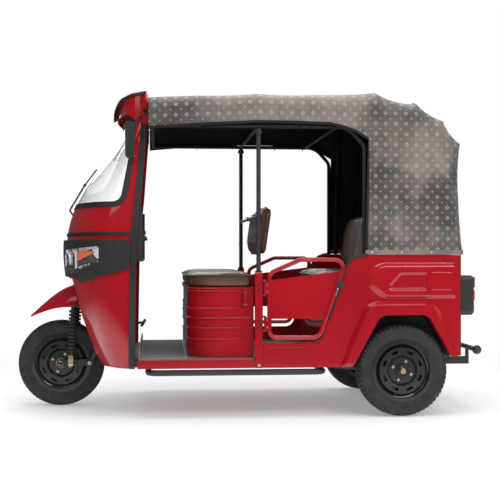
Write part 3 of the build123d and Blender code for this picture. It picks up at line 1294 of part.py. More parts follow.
def canopy_section(inset):
    """Front view of the canopy, round at its shoulders and crowned, moved in by inset and run along X."""
    w = SIDE_Y - inset
    r = CANOPY_CORNER_R - inset
    x = CANOPY_X - 2 * OVERRUN
    crown_z = TUB_TOP_Z + CANOPY_RISE - inset
    shoulder_z = crown_z - CANOPY_CROWN
    low_z = TUB_TOP_Z - OVERRUN
    q = r * math.sqrt(0.5)
    arc_y, arc_z = w - r, shoulder_z - r
    edges = [Line((x, -w, low_z), (x, -w, arc_z)), ThreePointArc((x, -w, arc_z),
                                                                 (x, -arc_y - q, arc_z + q),
                                                                 (x, -arc_y, shoulder_z)),
             ThreePointArc((x, -arc_y, shoulder_z), (x, 0, crown_z), (x, arc_y, shoulder_z)),
             ThreePointArc((x, arc_y, shoulder_z), (x, arc_y + q, arc_z + q),
                           (x, w, arc_z)), Line((x, w, arc_z), (x, w, low_z)),
             Line((x, w, low_z), (x, -w, low_z))]
    return extrude(make_face(edges), amount=CANOPY_RUN + 4 * OVERRUN, dir=(1, 0, 0))


def canopy_solid(inset, extend):
    """The canopy's whole volume, moved in by inset."""
    w = SIDE_Y + OVERRUN
    side = extrude(Location((0, -w, 0)) * canopy_profile(inset, extend), amount=2 * w, dir=(0, 1, 0))
    return side & canopy_section(inset)


def make_canopy():
    """Fabric canopy as a thin shell, with both doorways cut below its valance."""
    shell = canopy_solid(0, 0) - canopy_solid(CANOPY_T, OVERRUN)
    valance = side_points(VALANCE_SHARES, (CANOPY_X, TUB_TOP_Z), (CANOPY_RUN, CANOPY_RISE))
    front, low = CANOPY_X - OVERRUN, TUB_TOP_Z - OVERRUN
    doorway = side_prism([(front, low), (front, valance[0][1]), *valance, (valance[-1][0], low)], -SIDE_Y
                         - OVERRUN, SIDE_Y + OVERRUN)
    return shell - doorway


def make_hood_frame():
    """Tubes under the canopy: side rails, two roof bars and the four rear bows."""
    w = SIDE_Y - FRAME_INSET - TUBE_R
    foot_z = TUB_TOP_Z + SEAT_GAP
    rail = tube_path([(RAIL_START_X, -w, RAIL_Z), (RAIL_KNEE_X, -w, RAIL_Z),
                      (UPRIGHT_X, -w, RAIL_Z - RAIL_KNEE_DROP),
                      (UPRIGHT_X, -w, foot_z)], [RAIL_KNEE_R, RAIL_FOOT_R], TUBE_R)
    frame = mirrored(rail)
    for x in (ROOF_BAR_X[0], POST_X + POST_W / 2, ROOF_BAR_X[1]):
        frame += rod((x, -w, RAIL_Z), (x, w, RAIL_Z), CROSS_TUBE_R)
    bows = []
    clear = CANOPY_T + TUBE_R + BOW_CLEAR
    shoulder_z = TUB_TOP_Z + CANOPY_RISE - CANOPY_CROWN - clear
    for i, (x, z) in enumerate(canopy_points_in(clear)[FIRST_BOW:-2]):
        foot_x = UPRIGHT_X + BOW_PITCH * (i + 1)
        leg = [(foot_x, -w, foot_z), (foot_x, -w, foot_z + BOW_STUB), (x, -w, min(z, shoulder_z))]
        path = [*leg, *[(px, -py, pz) for px, py, pz in reversed(leg)]]
        bows.append(tube_path(path, [BOW_STUB_R, BOW_BEND_R, BOW_BEND_R, BOW_STUB_R], TUBE_R))
    return Compound([*frame.solids(), *bows])


# Chassis

def make_chassis():
    """Ladder frame of straight members: rails, crossmembers, outriggers, mounts and tow plate."""
    low = FRAME_TOP_Z - FRAME_RAIL_H
    half = FRAME_RAIL_W / 2
    y_out, y_in = -FRAME_RAIL_Y - half, -FRAME_RAIL_Y + half
    end_x = FRAME_END_X - FRAME_RAIL_W
    cross_top = FRAME_TOP_Z - CROSS_STEP
    side = box(BULKHEAD_X, end_x - SEAT_GAP, y_out, y_in, low, FRAME_TOP_Z)
    for x in ENGINE_MOUNT_X:
        side += box(x - half, x + half, y_in + SEAT_GAP, -ENGINE_HALF_W - SEAT_GAP, low
                    + ENGINE_MOUNT_INSET, FRAME_TOP_Z - ENGINE_MOUNT_INSET)
    for x in CROSS_X[:2]:
        side += box(x - half, x + half, SEAT_GAP - POST_IN_Y, y_out - SEAT_GAP, FRAME_TOP_Z
                    - OUTRIGGER_H, FRAME_TOP_Z)
    x0, x1, turret_z = DAMPER_X - DAMPER_SEAT_HALF_L, DAMPER_X + DAMPER_SEAT_HALF_L, DAMPER_TOP_Z + SEAT_GAP
    side += box(x0, x1, y_out, y_out + TURRET_T, FRAME_TOP_Z + SEAT_GAP, turret_z + TURRET_T)
    side += box(x0, x1, -DAMPER_Y - TURRET_REACH, y_out + TURRET_T, turret_z, turret_z + TURRET_T)
    frame = mirrored(side)
    for x in CROSS_X:
        frame += box(x - half, x + half, y_in + SEAT_GAP, -y_in - SEAT_GAP, low, cross_top)
    frame += box(end_x, FRAME_END_X, y_out, -y_out, low, FRAME_TOP_Z)
    frame += box(FRAME_END_X - OVERRUN, TOW_X + TOW_W / 2, -TOW_W / 2, TOW_W / 2, low - TOW_T, low)
    frame -= rod((TOW_X, 0, low - TOW_T - OVERRUN), (TOW_X, 0, low + OVERRUN), TOW_HOLE_R)
    return frame


def make_steering_head():
    """Steering head, and the tube that carries it down from the frame's first crossmember."""
    middle = steer_plane(HEAD_START + HEAD_L / 2).origin
    knee_x, foot_z = BULKHEAD_X - 2 * DOWN_TUBE_R, FRAME_TOP_Z - FRAME_RAIL_H + DOWN_TUBE_R
    foot_x = CROSS_X[0] - FRAME_RAIL_W / 2 - SEAT_GAP
    points = [(middle.X, 0, middle.Z), (knee_x, 0, middle.Z + DOWN_TUBE_R / 2), (knee_x, 0, foot_z),
              (foot_x, 0, foot_z)]
    head = steer_cylinder(HEAD_OUT_R, HEAD_START, HEAD_L)
    head += tube_path(points, [DOWN_BEND_R, DOWN_FOOT_BEND_R], DOWN_TUBE_R)
    return head - steer_cylinder(STEERER_R + HEAD_FIT, 0, STEERER_L)


def make_foot_tube():
    """Left side tube under the sill, turned in at both ends to the frame's rail."""
    y_in = -FRAME_RAIL_Y - FRAME_RAIL_W / 2 - SEAT_GAP
    points = [(FOOT_TUBE_X, y_in, FOOT_TUBE_Z), (FOOT_TUBE_X, -FOOT_TUBE_Y, FOOT_TUBE_Z),
              (FOOT_TUBE_END_X, -FOOT_TUBE_Y, FOOT_TUBE_Z),
              (FOOT_TUBE_END_X, y_in, FOOT_TUBE_Z)]
    return tube_path(points, FOOT_BEND_R, FOOT_TUBE_R)


def make_arm():
    """Left trailing arm with its pivot sleeve, spring pad, back plate and stub axle."""
    hub_y = -TRACK / 2 + HUB_HALF_W + HUB_GAP
    frame_y = -FRAME_RAIL_Y - FRAME_RAIL_W / 2 - SEAT_GAP
    end_y = hub_y + BACK_PLATE_T / 2
    arm = tube_path([(ARM_PIVOT_X, -ARM_IN_Y, ARM_PIVOT_Z), (ARM_KNEE_X, -ARM_KNEE_Y, TYRE_R),
                     (WHEELBASE, end_y, TYRE_R)], ARM_BEND_R, ARM_R)
    arm += rod((ARM_PIVOT_X, frame_y, ARM_PIVOT_Z), (ARM_PIVOT_X, -ARM_SLEEVE_Y, ARM_PIVOT_Z), ARM_R)
    arm += rod((WHEELBASE, hub_y, TYRE_R), (WHEELBASE, hub_y + BACK_PLATE_T, TYRE_R), BACK_PLATE_R)
    arm += rod((WHEELBASE, hub_y, TYRE_R), (WHEELBASE, -TRACK / 2 - FACE_Y + DISC_T, TYRE_R), AXLE_R)
    half_l, half_w = DAMPER_SEAT_HALF_L, DAMPER_SEAT_HALF_W
    return arm + box(DAMPER_X - half_l, DAMPER_X + half_l, -DAMPER_Y - half_w, -DAMPER_Y + half_w,
                     ARM_PIVOT_Z, DAMPER_LOW_Z)


def make_damper():
    """Left rear spring and damper, from the arm's pad up to the frame's turret."""
    low, high = (DAMPER_X, -DAMPER_Y, DAMPER_LOW_Z + SEAT_GAP), (DAMPER_X, -DAMPER_Y, DAMPER_TOP_Z)
    shape = rod(low, high, DAMPER_ROD_R)
    for coil in ribs_between(low, high, COIL_START_SHARE, COIL_END_SHARE, COIL_COUNT, COIL_SHARE, COIL_R):
        shape += coil
    return shape


def make_engine():
    """Rear engine and gearbox as one plain block of their real size."""
    return box(ENGINE_X, ENGINE_END_X, -ENGINE_HALF_W, ENGINE_HALF_W, ENGINE_LOW_Z, ENGINE_TOP_Z)


def save_front():
    """Writes the nose, the steering and the front wheel."""
    cowl, glass, seal = make_nose()
    save("front_cowl", cowl)
    save("windshield", glass)
    save("windshield_seal", seal)
    save("cowl_trim", make_trims())
    panel, lamps = make_lamps()
    save("headlamp_panel", panel)
    save("headlamps", lamps)
    peak, visor = make_peak()
    save("roof_peak", peak)
    save("visor", visor)
    save("front_fender", make_fender())
    save("fork", make_fork())
    save("front_links", make_links())
    save("front_shocks", both_sides(make_shock()))
    save("handlebar", make_handlebar())
    save("front_tyre", make_tyre())
    save("front_rim", make_rim(1, False))
    save("mirrors", both_sides(make_mirror()))
    save("wiper", make_wiper())


def save_cab():
    """Writes the cab, the floor and the driver's seat."""
    save("bulkhead", make_bulkhead())
    save("dash", make_dash())
    save("brake_pedal", make_pedal())
    save("floor_pan", make_floor())
    save("floor_mat", make_mat())
    save("seat_base", make_seat_base())
    save("driver_cushion", make_driver_cushion())
    save("partition_posts", make_posts())
    save("partition_poles", make_poles())
    save("driver_backrest", make_backrest())


def save_rear():
    """Writes the tub, the bench, the doors, the canopy and the tail."""
    side, door, catch = make_side(), make_door(), make_catch()
    save("tub_side_left", side)
    save("tub_side_right", mirror(side, about=Plane.XZ))
    save("door_left", door)
    save("door_right", mirror(door, about=Plane.XZ))
    save("door_catch_left", catch)
    save("door_catch_right", mirror(catch, about=Plane.XZ))
    save("hinge_pins", both_sides(make_hinge_pins()))
    save("wheel_housings", both_sides(make_housing()))
    save("rear_panel", make_rear_panel())
    save("engine_lid", make_lid())
    board, cushion, back = make_bench()
    save("rear_seat_plinth", board)
    save("rear_cushion", cushion)
    save("rear_backrest", back)
    save("canopy", make_canopy())
    save("hood_frame", make_hood_frame())
    save("tail_lamps", both_sides(make_tail_lamp()))
    save("rear_bumper", make_bumper())


def save_underside():
    """Writes the chassis, the rear suspension, the rear wheels and the engine."""
    save("chassis_frame", make_chassis())
    save("steering_head", make_steering_head())
    save("foot_tubes", both_sides(make_foot_tube()))
    save("rear_arms", both_sides(make_arm()))
    save("rear_dampers", both_sides(make_damper()))
    save("engine", make_engine())
    for name, side in (("left", 1), ("right", -1)):
        place = Location((WHEELBASE, -side * TRACK / 2, 0))
        save(f"rear_tyre_{name}", place * make_tyre())
        save(f"rear_rim_{name}", place * make_rim(side, True))


def main():
    """Builds every piece and writes it."""
    os.makedirs("parts", exist_ok=True)
    save_front()
    save_cab()
    save_rear()
    save_underside()


main()
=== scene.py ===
"""Auto rickshaw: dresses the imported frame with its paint, rubber, glass, leather and cloth.

Metres. X runs from the nose to the tail, Y from the vehicle's left to its right and Z up from the ground.
"""

import logging
import math
from dataclasses import dataclass
from enum import Enum
from typing import Callable, Iterable, Optional, Sequence

import bmesh
import bpy
from mathutils import Matrix, Vector


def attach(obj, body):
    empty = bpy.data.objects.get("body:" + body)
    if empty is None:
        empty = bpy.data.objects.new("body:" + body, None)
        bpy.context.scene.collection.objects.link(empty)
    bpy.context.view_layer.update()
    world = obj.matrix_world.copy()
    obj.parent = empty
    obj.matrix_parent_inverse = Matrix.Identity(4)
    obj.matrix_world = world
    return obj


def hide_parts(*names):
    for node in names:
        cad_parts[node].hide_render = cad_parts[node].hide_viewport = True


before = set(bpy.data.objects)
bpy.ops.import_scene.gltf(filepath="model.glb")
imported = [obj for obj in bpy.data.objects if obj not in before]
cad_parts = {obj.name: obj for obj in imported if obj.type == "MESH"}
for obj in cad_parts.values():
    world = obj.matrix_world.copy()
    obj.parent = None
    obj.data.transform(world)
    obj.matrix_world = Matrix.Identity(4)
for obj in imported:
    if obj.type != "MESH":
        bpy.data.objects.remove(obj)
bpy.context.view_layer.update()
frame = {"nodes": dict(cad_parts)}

LOG = logging.getLogger("rickshaw")
Colour = tuple[float, float, float]
Path = Sequence[Vector]
Profile = Sequence[tuple[float, float]]
Station = tuple[float, float, float]

FRONT_AXLE_X = -1.0375
REAR_AXLE = 1.854
REAR_WHEEL_Y = 0.57
AXLE_Z = 0.245
SIDE_Y = 0.62
SEAT_SIDE_Y = 0.572
POST_X = 1.082
TUB_TOP_Z = 0.864
LEFT = -1.0
RIGHT = 1.0
UP = Vector((0, 0, 1))
TO_BACK = Vector((1, 0, 0))
TO_LEFT = Vector((0, -1, 0))
TO_RIGHT = Vector((0, 1, 0))
VEHICLE = "vehicle"

WELD = 1e-6
SHARP_ANGLE = 40.0
HEX_CREASE = 30.0
DUST_COLOUR = (0.30, 0.26, 0.22, 1)
DUST_TOP = 0.6
LOW_SHADE = 0.45
COAT_ROUGHNESS = 0.06
THREADS = 160.0


def at(x: float, y: float, z: float) -> Vector:
    """Gives a point whose x is measured from the front axle.

    Args:
        x: Distance behind the front axle.
        y: Distance to the vehicle's right.
        z: Height over the ground.

    Returns:
        The point in the shared frame.
    """
    return Vector((x + FRONT_AXLE_X, y, z))


# Mesh making

def settle_mesh(mesh: bpy.types.Mesh, crease: float) -> None:
    """Joins doubled points, turns the faces outward and keeps edges sharp past an angle.

    Args:
        mesh: The mesh to settle.
        crease: Angle in degrees past which an edge is sharp.
    """
    work = bmesh.new()
    work.from_mesh(mesh)
    bmesh.ops.remove_doubles(work, verts=work.verts, dist=WELD)
    bmesh.ops.recalc_face_normals(work, faces=work.faces)
    for face in work.faces:
        face.smooth = True
    for edge in work.edges:
        edge.smooth = edge.calc_face_angle(0.0) < math.radians(crease)
    work.to_mesh(mesh)
    work.free()


def add_mesh(name: str, points: Iterable[Sequence[float]], faces: Iterable[Sequence[int]],
             crease: float = SHARP_ANGLE) -> bpy.types.Object:
    """Makes a piece from points and faces.

    Args:
        name: Name of the piece.
        points: Its points in the shared frame.
        faces: Point numbers of each face.
        crease: Angle in degrees past which an edge is sharp.

    Returns:
        The new piece.
    """
    mesh = bpy.data.meshes.new(name)
    mesh.from_pydata([tuple(p) for p in points], [], [tuple(f) for f in faces])
    settle_mesh(mesh, crease)
    piece = bpy.data.objects.new(name, mesh)
    bpy.context.collection.objects.link(piece)
    return piece


def grid_faces(rows: int, columns: int, round_rows: bool = False, round_columns: bool = False) -> list[tuple]:
    """Numbers the four-sided faces of a grid of points.

    Args:
        rows: Count of rows.
        columns: Count of points in a row.
        round_rows: Whether the last row joins the first.
        round_columns: Whether the last point of a row joins its first.

    Returns:
        The faces.
    """
    faces = []
    for i in range(rows if round_rows else rows - 1):
        for j in range(columns if round_columns else columns - 1):
            low, high = i * columns, (i + 1) % rows * columns
            after = (j + 1) % columns
            faces.append((low + j, low + after, high + after, high + j))
    return faces


def square_to(axis: Vector) -> tuple[Vector, Vector]:
    """Gives two directions square to an axis and to each other.

    Args:
        axis: The axis.

    Returns:
        The two directions.
    """
    side = UP if abs(axis.z) < 0.9 else TO_BACK
    across = axis.cross(side).normalized()
    return across, axis.cross(across).normalized()


def turned(name: str, profile: Profile, base: Vector, axis: Vector, sides: int = 32,
           crease: float = 35.0) -> bpy.types.Object:
    """Makes a turned piece.

    Args:
        name: Name of the piece.
        profile: Pairs of distance along the axis and radius.
        base: Where the axis starts.
        axis: Direction of the axis.
        sides: Count of sides round the axis.
        crease: Angle in degrees past which an edge is sharp.

    Returns:
        The new piece.
    """
    axis = axis.normalized()
    one, two = square_to(axis)
    points = []
    for along, radius in profile:
        for k in range(sides):
            turn = math.tau * k / sides
            points.append(base + axis * along + (one * math.cos(turn) + two * math.sin(turn)) * radius)
    faces = grid_faces(len(profile), sides, round_columns=True)
    return add_mesh(name, points, faces, crease)


def capped(*rings: tuple[float, float]) -> Profile:
    """Closes a turned piece's profile onto its axis at both ends."""
    return [(rings[0][0], 0), *rings, (rings[-1][0], 0)]


def bar(name: str, path: Path, radius: float, sides: int = 12, loop: bool = False,
        flat: float = 1.0) -> bpy.types.Object:
    """Makes a round or flattened bar along a path.

    Args:
        name: Name of the piece.
        path: Points of its middle line.
        radius: Radius of the bar.
        sides: Count of sides round it.
        loop: Whether the path closes on itself.
        flat: Share of the radius left across one direction.

    Returns:
        The new piece.
    """
    count = len(path)
    side = None
    points = []
    for i, point in enumerate(path):
        before = path[i - 1] if i or loop else point
        after = path[(i + 1) % count] if i < count - 1 or loop else point
        along = (after - before).normalized()
        side = square_to(along)[0] if side is None else (side - along * side.dot(along)).normalized()
        other = along.cross(side)
        for k in range(sides):
            turn = math.tau * k / sides
            points.append(point + side * math.cos(turn) * radius + other * math.sin(turn) * radius * flat)
    faces = grid_faces(count, sides, round_rows=loop, round_columns=True)
    if not loop:
        faces.append(tuple(range(sides)))
        faces.append(tuple((count - 1) * sides + k for k in reversed(range(sides))))
    return add_mesh(name, points, faces, 50.0)


def rounded(corners: Path, radius: float, steps: int = 7) -> list[Vector]:
    """Rounds the corners of a path.

    Args:
        corners: The path's corners.
        radius: Radius of the bends.
        steps: Count of runs in each bend.

    Returns:
        The smooth path.
    """
    path = [corners[0]]
    for a, b, c in zip(corners, corners[1:], corners[2:]):
        back, on = (a - b), (c - b)
        half = back.angle(on) / 2
        reach = min(radius / math.tan(half), back.length * 0.49, on.length * 0.49)
        start, end = b + back.normalized() * reach, b + on.normalized() * reach
        for k in range(steps + 1):
            t = k / steps
            path.append(start * (1 - t) ** 2 + b * (2 * t * (1 - t)) + end * t ** 2)
    path.append(corners[-1])
    return path


def rounded_arc(corners: Path, radius: float, steps: int = 12) -> list[Vector]:
    """Rounds a path's one corner with a true arc.

    Args:
        corners: Start, corner and end.
        radius: Radius of the arc.
        steps: Count of runs in the arc.

    Returns:
        The path.
    """
    a, b, c = corners
    back, on = (a - b).normalized(), (c - b).normalized()
    half = back.angle(on) / 2
    middle = b + (back + on).normalized() * radius / math.sin(half)
    start = b + back * radius / math.tan(half) - middle
    axis = start.cross(b + on * radius / math.tan(half) - middle).normalized()
    sweep = math.pi - 2 * half
    return [a, *[middle + Matrix.Rotation(sweep * k / steps, 3, axis) @ start for k in range(steps + 1)], c]


def shell_of(name: str, fronts: Sequence[Sequence[Vector]], backs: Sequence[Sequence[Vector]],
             crease: float = SHARP_ANGLE) -> bpy.types.Object:
    """Makes a closed thin piece from the points of its two faces.

    Args:
        name: Name of the piece.
        fronts: Rows of points of one face.
        backs: Rows of points of the other face, as many.
        crease: Angle in degrees past which an edge is sharp.

    Returns:
        The new piece.
    """
    rows, columns = len(fronts), len(fronts[0])
    count = rows * columns
    one = grid_faces(rows, columns)
    faces = [*one, *[tuple(reversed([k + count for k in face])) for face in one]]
    rim = [i * columns for i in range(rows)]
    rim += [(rows - 1) * columns + j for j in range(1, columns)]
    rim += [i * columns + columns - 1 for i in reversed(range(rows - 1))]
    rim += list(reversed(range(1, columns - 1)))
    faces += [(rim[k - 1], rim[k], rim[k] + count, rim[k - 1] + count) for k in range(len(rim))]
    return add_mesh(name, [p for side in (fronts, backs) for row in side for p in row], faces, crease)


def smooth_step(value: float) -> float:
    """Gives a smooth rise from 0 to 1 as a value goes from 0 to 1.

    Args:
        value: The value.

    Returns:
        The rise.
    """
    t = max(0.0, min(1.0, value))
    return t * t * (3 - 2 * t)


def slab(name: str, outline: Path, depth: Vector, soft: float = 0.0, steps: int = 2) -> bpy.types.Object:
    """Makes a flat piece from an outline, with softened edges.

    Args:
        name: Name of the piece.
        outline: Corners of one face.
        depth: From that face to the other.
        soft: Width of the softened edges.
        steps: Count of runs over an edge.

    Returns:
        The new piece.
    """
    count = len(outline)
    points = [*outline, *[p + depth for p in outline]]
    faces = [tuple(range(count)), tuple(reversed(range(count, 2 * count)))]
    faces += [(i, (i + 1) % count, (i + 1) % count + count, i + count) for i in range(count)]
    piece = add_mesh(name, points, faces)
    if soft:
        soften(piece, soft, steps)
    return piece


def soften(piece: bpy.types.Object, width: float, steps: int = 2) -> None:
    """Rounds over a piece's sharp edges.

    Args:
        piece: The piece to change.
        width: Width of the rounding.
        steps: Count of runs over each edge.
    """
    work = bmesh.new()
    work.from_mesh(piece.data)
    sharp = [e for e in work.edges if e.calc_face_angle(0.0) > math.radians(SHARP_ANGLE)]
    bmesh.ops.bevel(work, geom=sharp, offset=width, segments=steps, profile=0.6, affect="EDGES",
                    clamp_overlap=True)
    work.to_mesh(piece.data)
    work.free()
    settle_mesh(piece.data, 60.0)


def block(name: str, middle: Vector, size: Sequence[float], soft: float = 0.0,
          steps: int = 2) -> bpy.types.Object:
    """Makes a block with softened edges round a middle point.

    Args:
        name: Name of the piece.
        middle: Its middle point.
        size: Its sizes along X, Y and Z.
        soft: Width of the softened edges.
        steps: Count of runs over an edge.

    Returns:
        The new piece.
    """
    x, y, z = (s / 2 for s in size)
    outline = [middle + Vector(c) for c in ((-x, -y, -z), (x, -y, -z), (x, y, -z), (-x, y, -z))]
    return slab(name, outline, Vector((0, 0, 2 * z)), soft, steps)


def bolt(name: str, base: Vector, axis: Vector, radius: float, height: float) -> bpy.types.Object:
    """Makes a bolt head on its washer.

    Args:
        name: Name of the piece.
        base: Where its washer lies.
        axis: Direction of the head.
        radius: The head's radius.
        height: The head's height.

    Returns:
        The new piece.
    """
    head = turned(name, capped((0, radius), (height * 0.8, radius), (height, radius * 0.82)),
                  base + axis * height * 0.2, axis, 6, HEX_CREASE)
    washer = turned(name + "_washer", capped((0, radius * 1.35), (height * 0.3, radius * 1.3)), base, axis,
                    20)
    return merged(name, [head, washer])


def merged(name: str, pieces: Sequence[bpy.types.Object]) -> bpy.types.Object:
    """Joins pieces into one.

    Args:
        name: Name of the joined piece.
        pieces: What it is made of.

    Returns:
        The joined piece.
    """
    work = bmesh.new()
    for piece in pieces:
        work.from_mesh(piece.data)
    mesh = bpy.data.meshes.new(name)
    work.to_mesh(mesh)
    work.free()
    for piece in pieces:
        bpy.data.objects.remove(piece)
    joined = bpy.data.objects.new(name, mesh)
    bpy.context.collection.objects.link(joined)
    return joined


def flipped(piece: bpy.types.Object, name: str) -> bpy.types.Object:
    """Makes the mirror image of a piece on the vehicle's other side.

    Args:
        piece: The piece.
        name: Name of its mirror image.

    Returns:
        The mirror image.
    """
    mesh = piece.data.copy()
    mesh.transform(Matrix.Scale(-1, 4, (0, 1, 0)))
    mesh.flip_normals()
    twin = bpy.data.objects.new(name, mesh)
    bpy.context.collection.objects.link(twin)
    return twin


def dress(piece: bpy.types.Object, finish: "Look", body: str = VEHICLE,
          replaces: Sequence[str] = ()) -> bpy.types.Object:
    """Gives a piece its finish and the body that it moves with.

    Args:
        piece: The piece.
        finish: Its finish, which a piece with materials of its own doesn't take.
        body: Name of its body.
        replaces: CAD nodes that it stands for.

    Returns:
        The same piece.
    """
    if not piece.data.materials:
        piece.data.materials.append(finish.material())
    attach(piece, body)
    if replaces:
        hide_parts(*replaces)
    LOG.info("%s on %s, %d faces", piece.name, body, len(piece.data.polygons))
    return piece


def joined(name: str, parts: Sequence[bpy.types.Object], finish: "Look", slot: str, body: str = VEHICLE,
           replaces: Sequence[str] = ()) -> bpy.types.Object:
    """Joins parts into one dressed piece.

    Args:
        name: Name of the piece.
        parts: What it is made of.
        finish: Its finish.
        slot: Name of the record's material slot; not used.
        body: Name of its body.
        replaces: CAD nodes that it stands for.

    Returns:
        The piece.
    """
    return dress(merged(name, parts), finish, body, replaces)


def paired(name: str, parts: Sequence[bpy.types.Object], finish: "Look", body: str = VEHICLE,
           replaces: Sequence[str] = ()) -> bpy.types.Object:
    """Joins left-hand parts and their mirror images into one dressed piece.

    Args:
        name: Name of the piece.
        parts: Its left-hand parts.
        finish: Its finish.
        body: Name of its body.
        replaces: CAD nodes that it stands for.

    Returns:
        The piece.
    """
    left = merged(name + "_one", parts)
    return dress(merged(name, [left, flipped(left, name + "_two")]), finish, body, replaces)


def coat_nodes(finish: "Look", *nodes: str) -> None:
    """Gives CAD nodes a finish in their own slots.

    Args:
        finish: Their finish.
        nodes: Names of the nodes.
    """
    material = finish.material()
    for name in nodes:
        piece = frame["nodes"][name]
        if not piece.material_slots:
            piece.data.materials.append(material)
        for place in piece.material_slots:
            place.material = material
        LOG.info("%s keeps its shape, in %s", name, finish.name)


# Shading

class Graph:
    """Adds nodes to a shader tree and joins them."""

    def __init__(self, tree: bpy.types.NodeTree) -> None:
        """Takes the tree to fill."""
        self.tree = tree

    def add(self, kind: str, sockets: Optional[dict] = None, **settings: object) -> bpy.types.Node:
        """Adds a node.

        Args:
            kind: Blender's name for the node.
            sockets: Values or sockets for its inputs, by name or number.
            settings: Properties of the node.

        Returns:
            The node.
        """
        node = self.tree.nodes.new(kind)
        for name, value in settings.items():
            setattr(node, name, value)
        self.feed(node, sockets or {})
        return node

    def feed(self, node: bpy.types.Node, sockets: dict) -> None:
        """Joins sockets to a node's inputs, and sets plain values on the inputs themselves.

        Args:
            node: The node.
            sockets: Values or sockets for its inputs, by name or number.
        """
        for name, value in sockets.items():
            if isinstance(value, bpy.types.NodeSocket):
                self.tree.links.new(value, node.inputs[name])
            else:
                node.inputs[name].default_value = value

    def sum(self, operation: str, a: object, b: object = 0.0, c: object = 0.0) -> bpy.types.NodeSocket:
        """Adds a Math node and gives its result."""
        return self.add("ShaderNodeMath", {0: a, 1: b, 2: c}, operation=operation).outputs[0]

    def times(self, a: object, b: object) -> bpy.types.NodeSocket:
        """Multiplies two values."""
        return self.sum("MULTIPLY", a, b)

    def plus(self, a: object, b: object) -> bpy.types.NodeSocket:
        """Adds two values."""
        return self.sum("ADD", a, b)

    def fade(self, value: object, low: float, high: float, first: object = 0.0,
             last: object = 1.0) -> bpy.types.NodeSocket:
        """Turns a range of values smoothly into another.

        Args:
            value: The value or its socket.
            low: Start of its range.
            high: End of its range.
            first: What the start turns into.
            last: What the end turns into.

        Returns:
            The result.
        """
        node = self.add("ShaderNodeMapRange", {0: value, 1: low, 2: high, 3: first, 4: last},
                        interpolation_type="SMOOTHSTEP")
        return node.outputs[0]

    def noise(self, place: object, scale: object, detail: float = 3.0,
              rough: float = 0.5) -> bpy.types.NodeSocket:
        """Adds a noise and gives its value.

        Args:
            place: Where it is looked up.
            scale: Cells in a unit.
            detail: Count of octaves.
            rough: Strength of the finer octaves.

        Returns:
            The value.
        """
        return self.add("ShaderNodeTexNoise", {"Vector": place, "Scale": scale, "Detail": detail,
                                               "Roughness": rough}).outputs[0]

    def mix(self, share: object, one: object, two: object) -> bpy.types.NodeSocket:
        """Mixes two colours."""
        return self.add("ShaderNodeMix", {0: share, 6: one, 7: two}, data_type="RGBA").outputs[2]

    def place(self) -> bpy.types.NodeSocket:
        """Gives the piece's own coordinates."""
        return self.add("ShaderNodeTexCoord").outputs["Object"]

    def effect(self, group: bpy.types.NodeTree, **values: object) -> bpy.types.Node:
        """Places a shared effect with its own values."""
        return self.add("ShaderNodeGroup", values, node_tree=group)


def effect_group(name: str, inputs: dict[str, float], outputs: Sequence[str],
                 fill: Callable[[Graph, bpy.types.Node], dict]) -> bpy.types.NodeTree:
    """Makes a shared effect as a node group, once.

    Args:
        name: Name of the effect.
        inputs: Its inputs and their usual values.
        outputs: Its outputs.
        fill: Adds the nodes and gives a socket for each output.

    Returns:
        The group.
    """
    known = bpy.data.node_groups.get(name)
    if known:
        return known
    tree = bpy.data.node_groups.new(name, "ShaderNodeTree")
    for label, usual in inputs.items():
        socket = tree.interface.new_socket(label, in_out="INPUT", socket_type="NodeSocketFloat")
        socket.default_value = usual
    for label in outputs:
        tree.interface.new_socket(label, in_out="OUTPUT", socket_type="NodeSocketFloat")
    graph = Graph(tree)
    results = fill(graph, graph.add("NodeGroupInput"))
    graph.add("NodeGroupOutput", results)
    return tree


def blotch_group() -> bpy.types.NodeTree:
    """Makes the effect of soft uneven patches.

    Returns:
        The group.
    """
    def fill(graph: Graph, given: bpy.types.Node) -> dict:
        """Adds the patches' nodes.

        Args:
            graph: The group's graph.
            given: The group's inputs.

        Returns:
            A socket for each output.
        """
        cloud = graph.noise(graph.place(), given.outputs["Scale"], 4.0, 0.55)
        return {"Mask": graph.fade(cloud, 0.38, 0.66)}
    return effect_group("soft_patches", {"Scale": 3.0}, ["Mask"], fill)


def dust_group() -> bpy.types.NodeTree:
    """Makes the effect of road dust, thickest near the ground.

    Returns:
        The group.
    """
    def fill(graph: Graph, given: bpy.types.Node) -> dict:
        """Adds the dust's nodes.

        Args:
            graph: The group's graph.
            given: The group's inputs.

        Returns:
            A socket for each output.
        """
        place = graph.place()
        height = graph.add("ShaderNodeSeparateXYZ", {0: place}).outputs[2]
        fall = graph.add("ShaderNodeMapRange", {0: height, 1: 0.0, 2: given.outputs["Top"], 3: 1.0, 4: 0.0})
        speck = graph.fade(graph.noise(place, 24.0, 6.0, 0.65), 0.42, 0.72)
        return {"Mask": graph.times(graph.times(fall.outputs[0], speck),
                                  given.outputs["Amount"])}
    return effect_group("road_dust", {"Top": 0.5, "Amount": 0.3}, ["Mask"], fill)


def scuff_group() -> bpy.types.NodeTree:
    """Makes the effect of fine rubbed streaks.

    Returns:
        The group.
    """
    def fill(graph: Graph, given: bpy.types.Node) -> dict:
        """Adds the streaks' nodes.

        Args:
            graph: The group's graph.
            given: The group's inputs.

        Returns:
            A socket for each output.
        """
        place = graph.add("ShaderNodeMapping", {"Vector": graph.place(), "Scale": (5.0, 9.0, 60.0)})
        streak = graph.noise(place.outputs[0], given.outputs["Scale"], 5.0, 0.6)
        return {"Mask": graph.times(graph.fade(streak, 0.56, 0.74), given.outputs["Amount"])}
    return effect_group("rubbed_streaks", {"Scale": 1.4, "Amount": 0.3}, ["Mask"], fill)


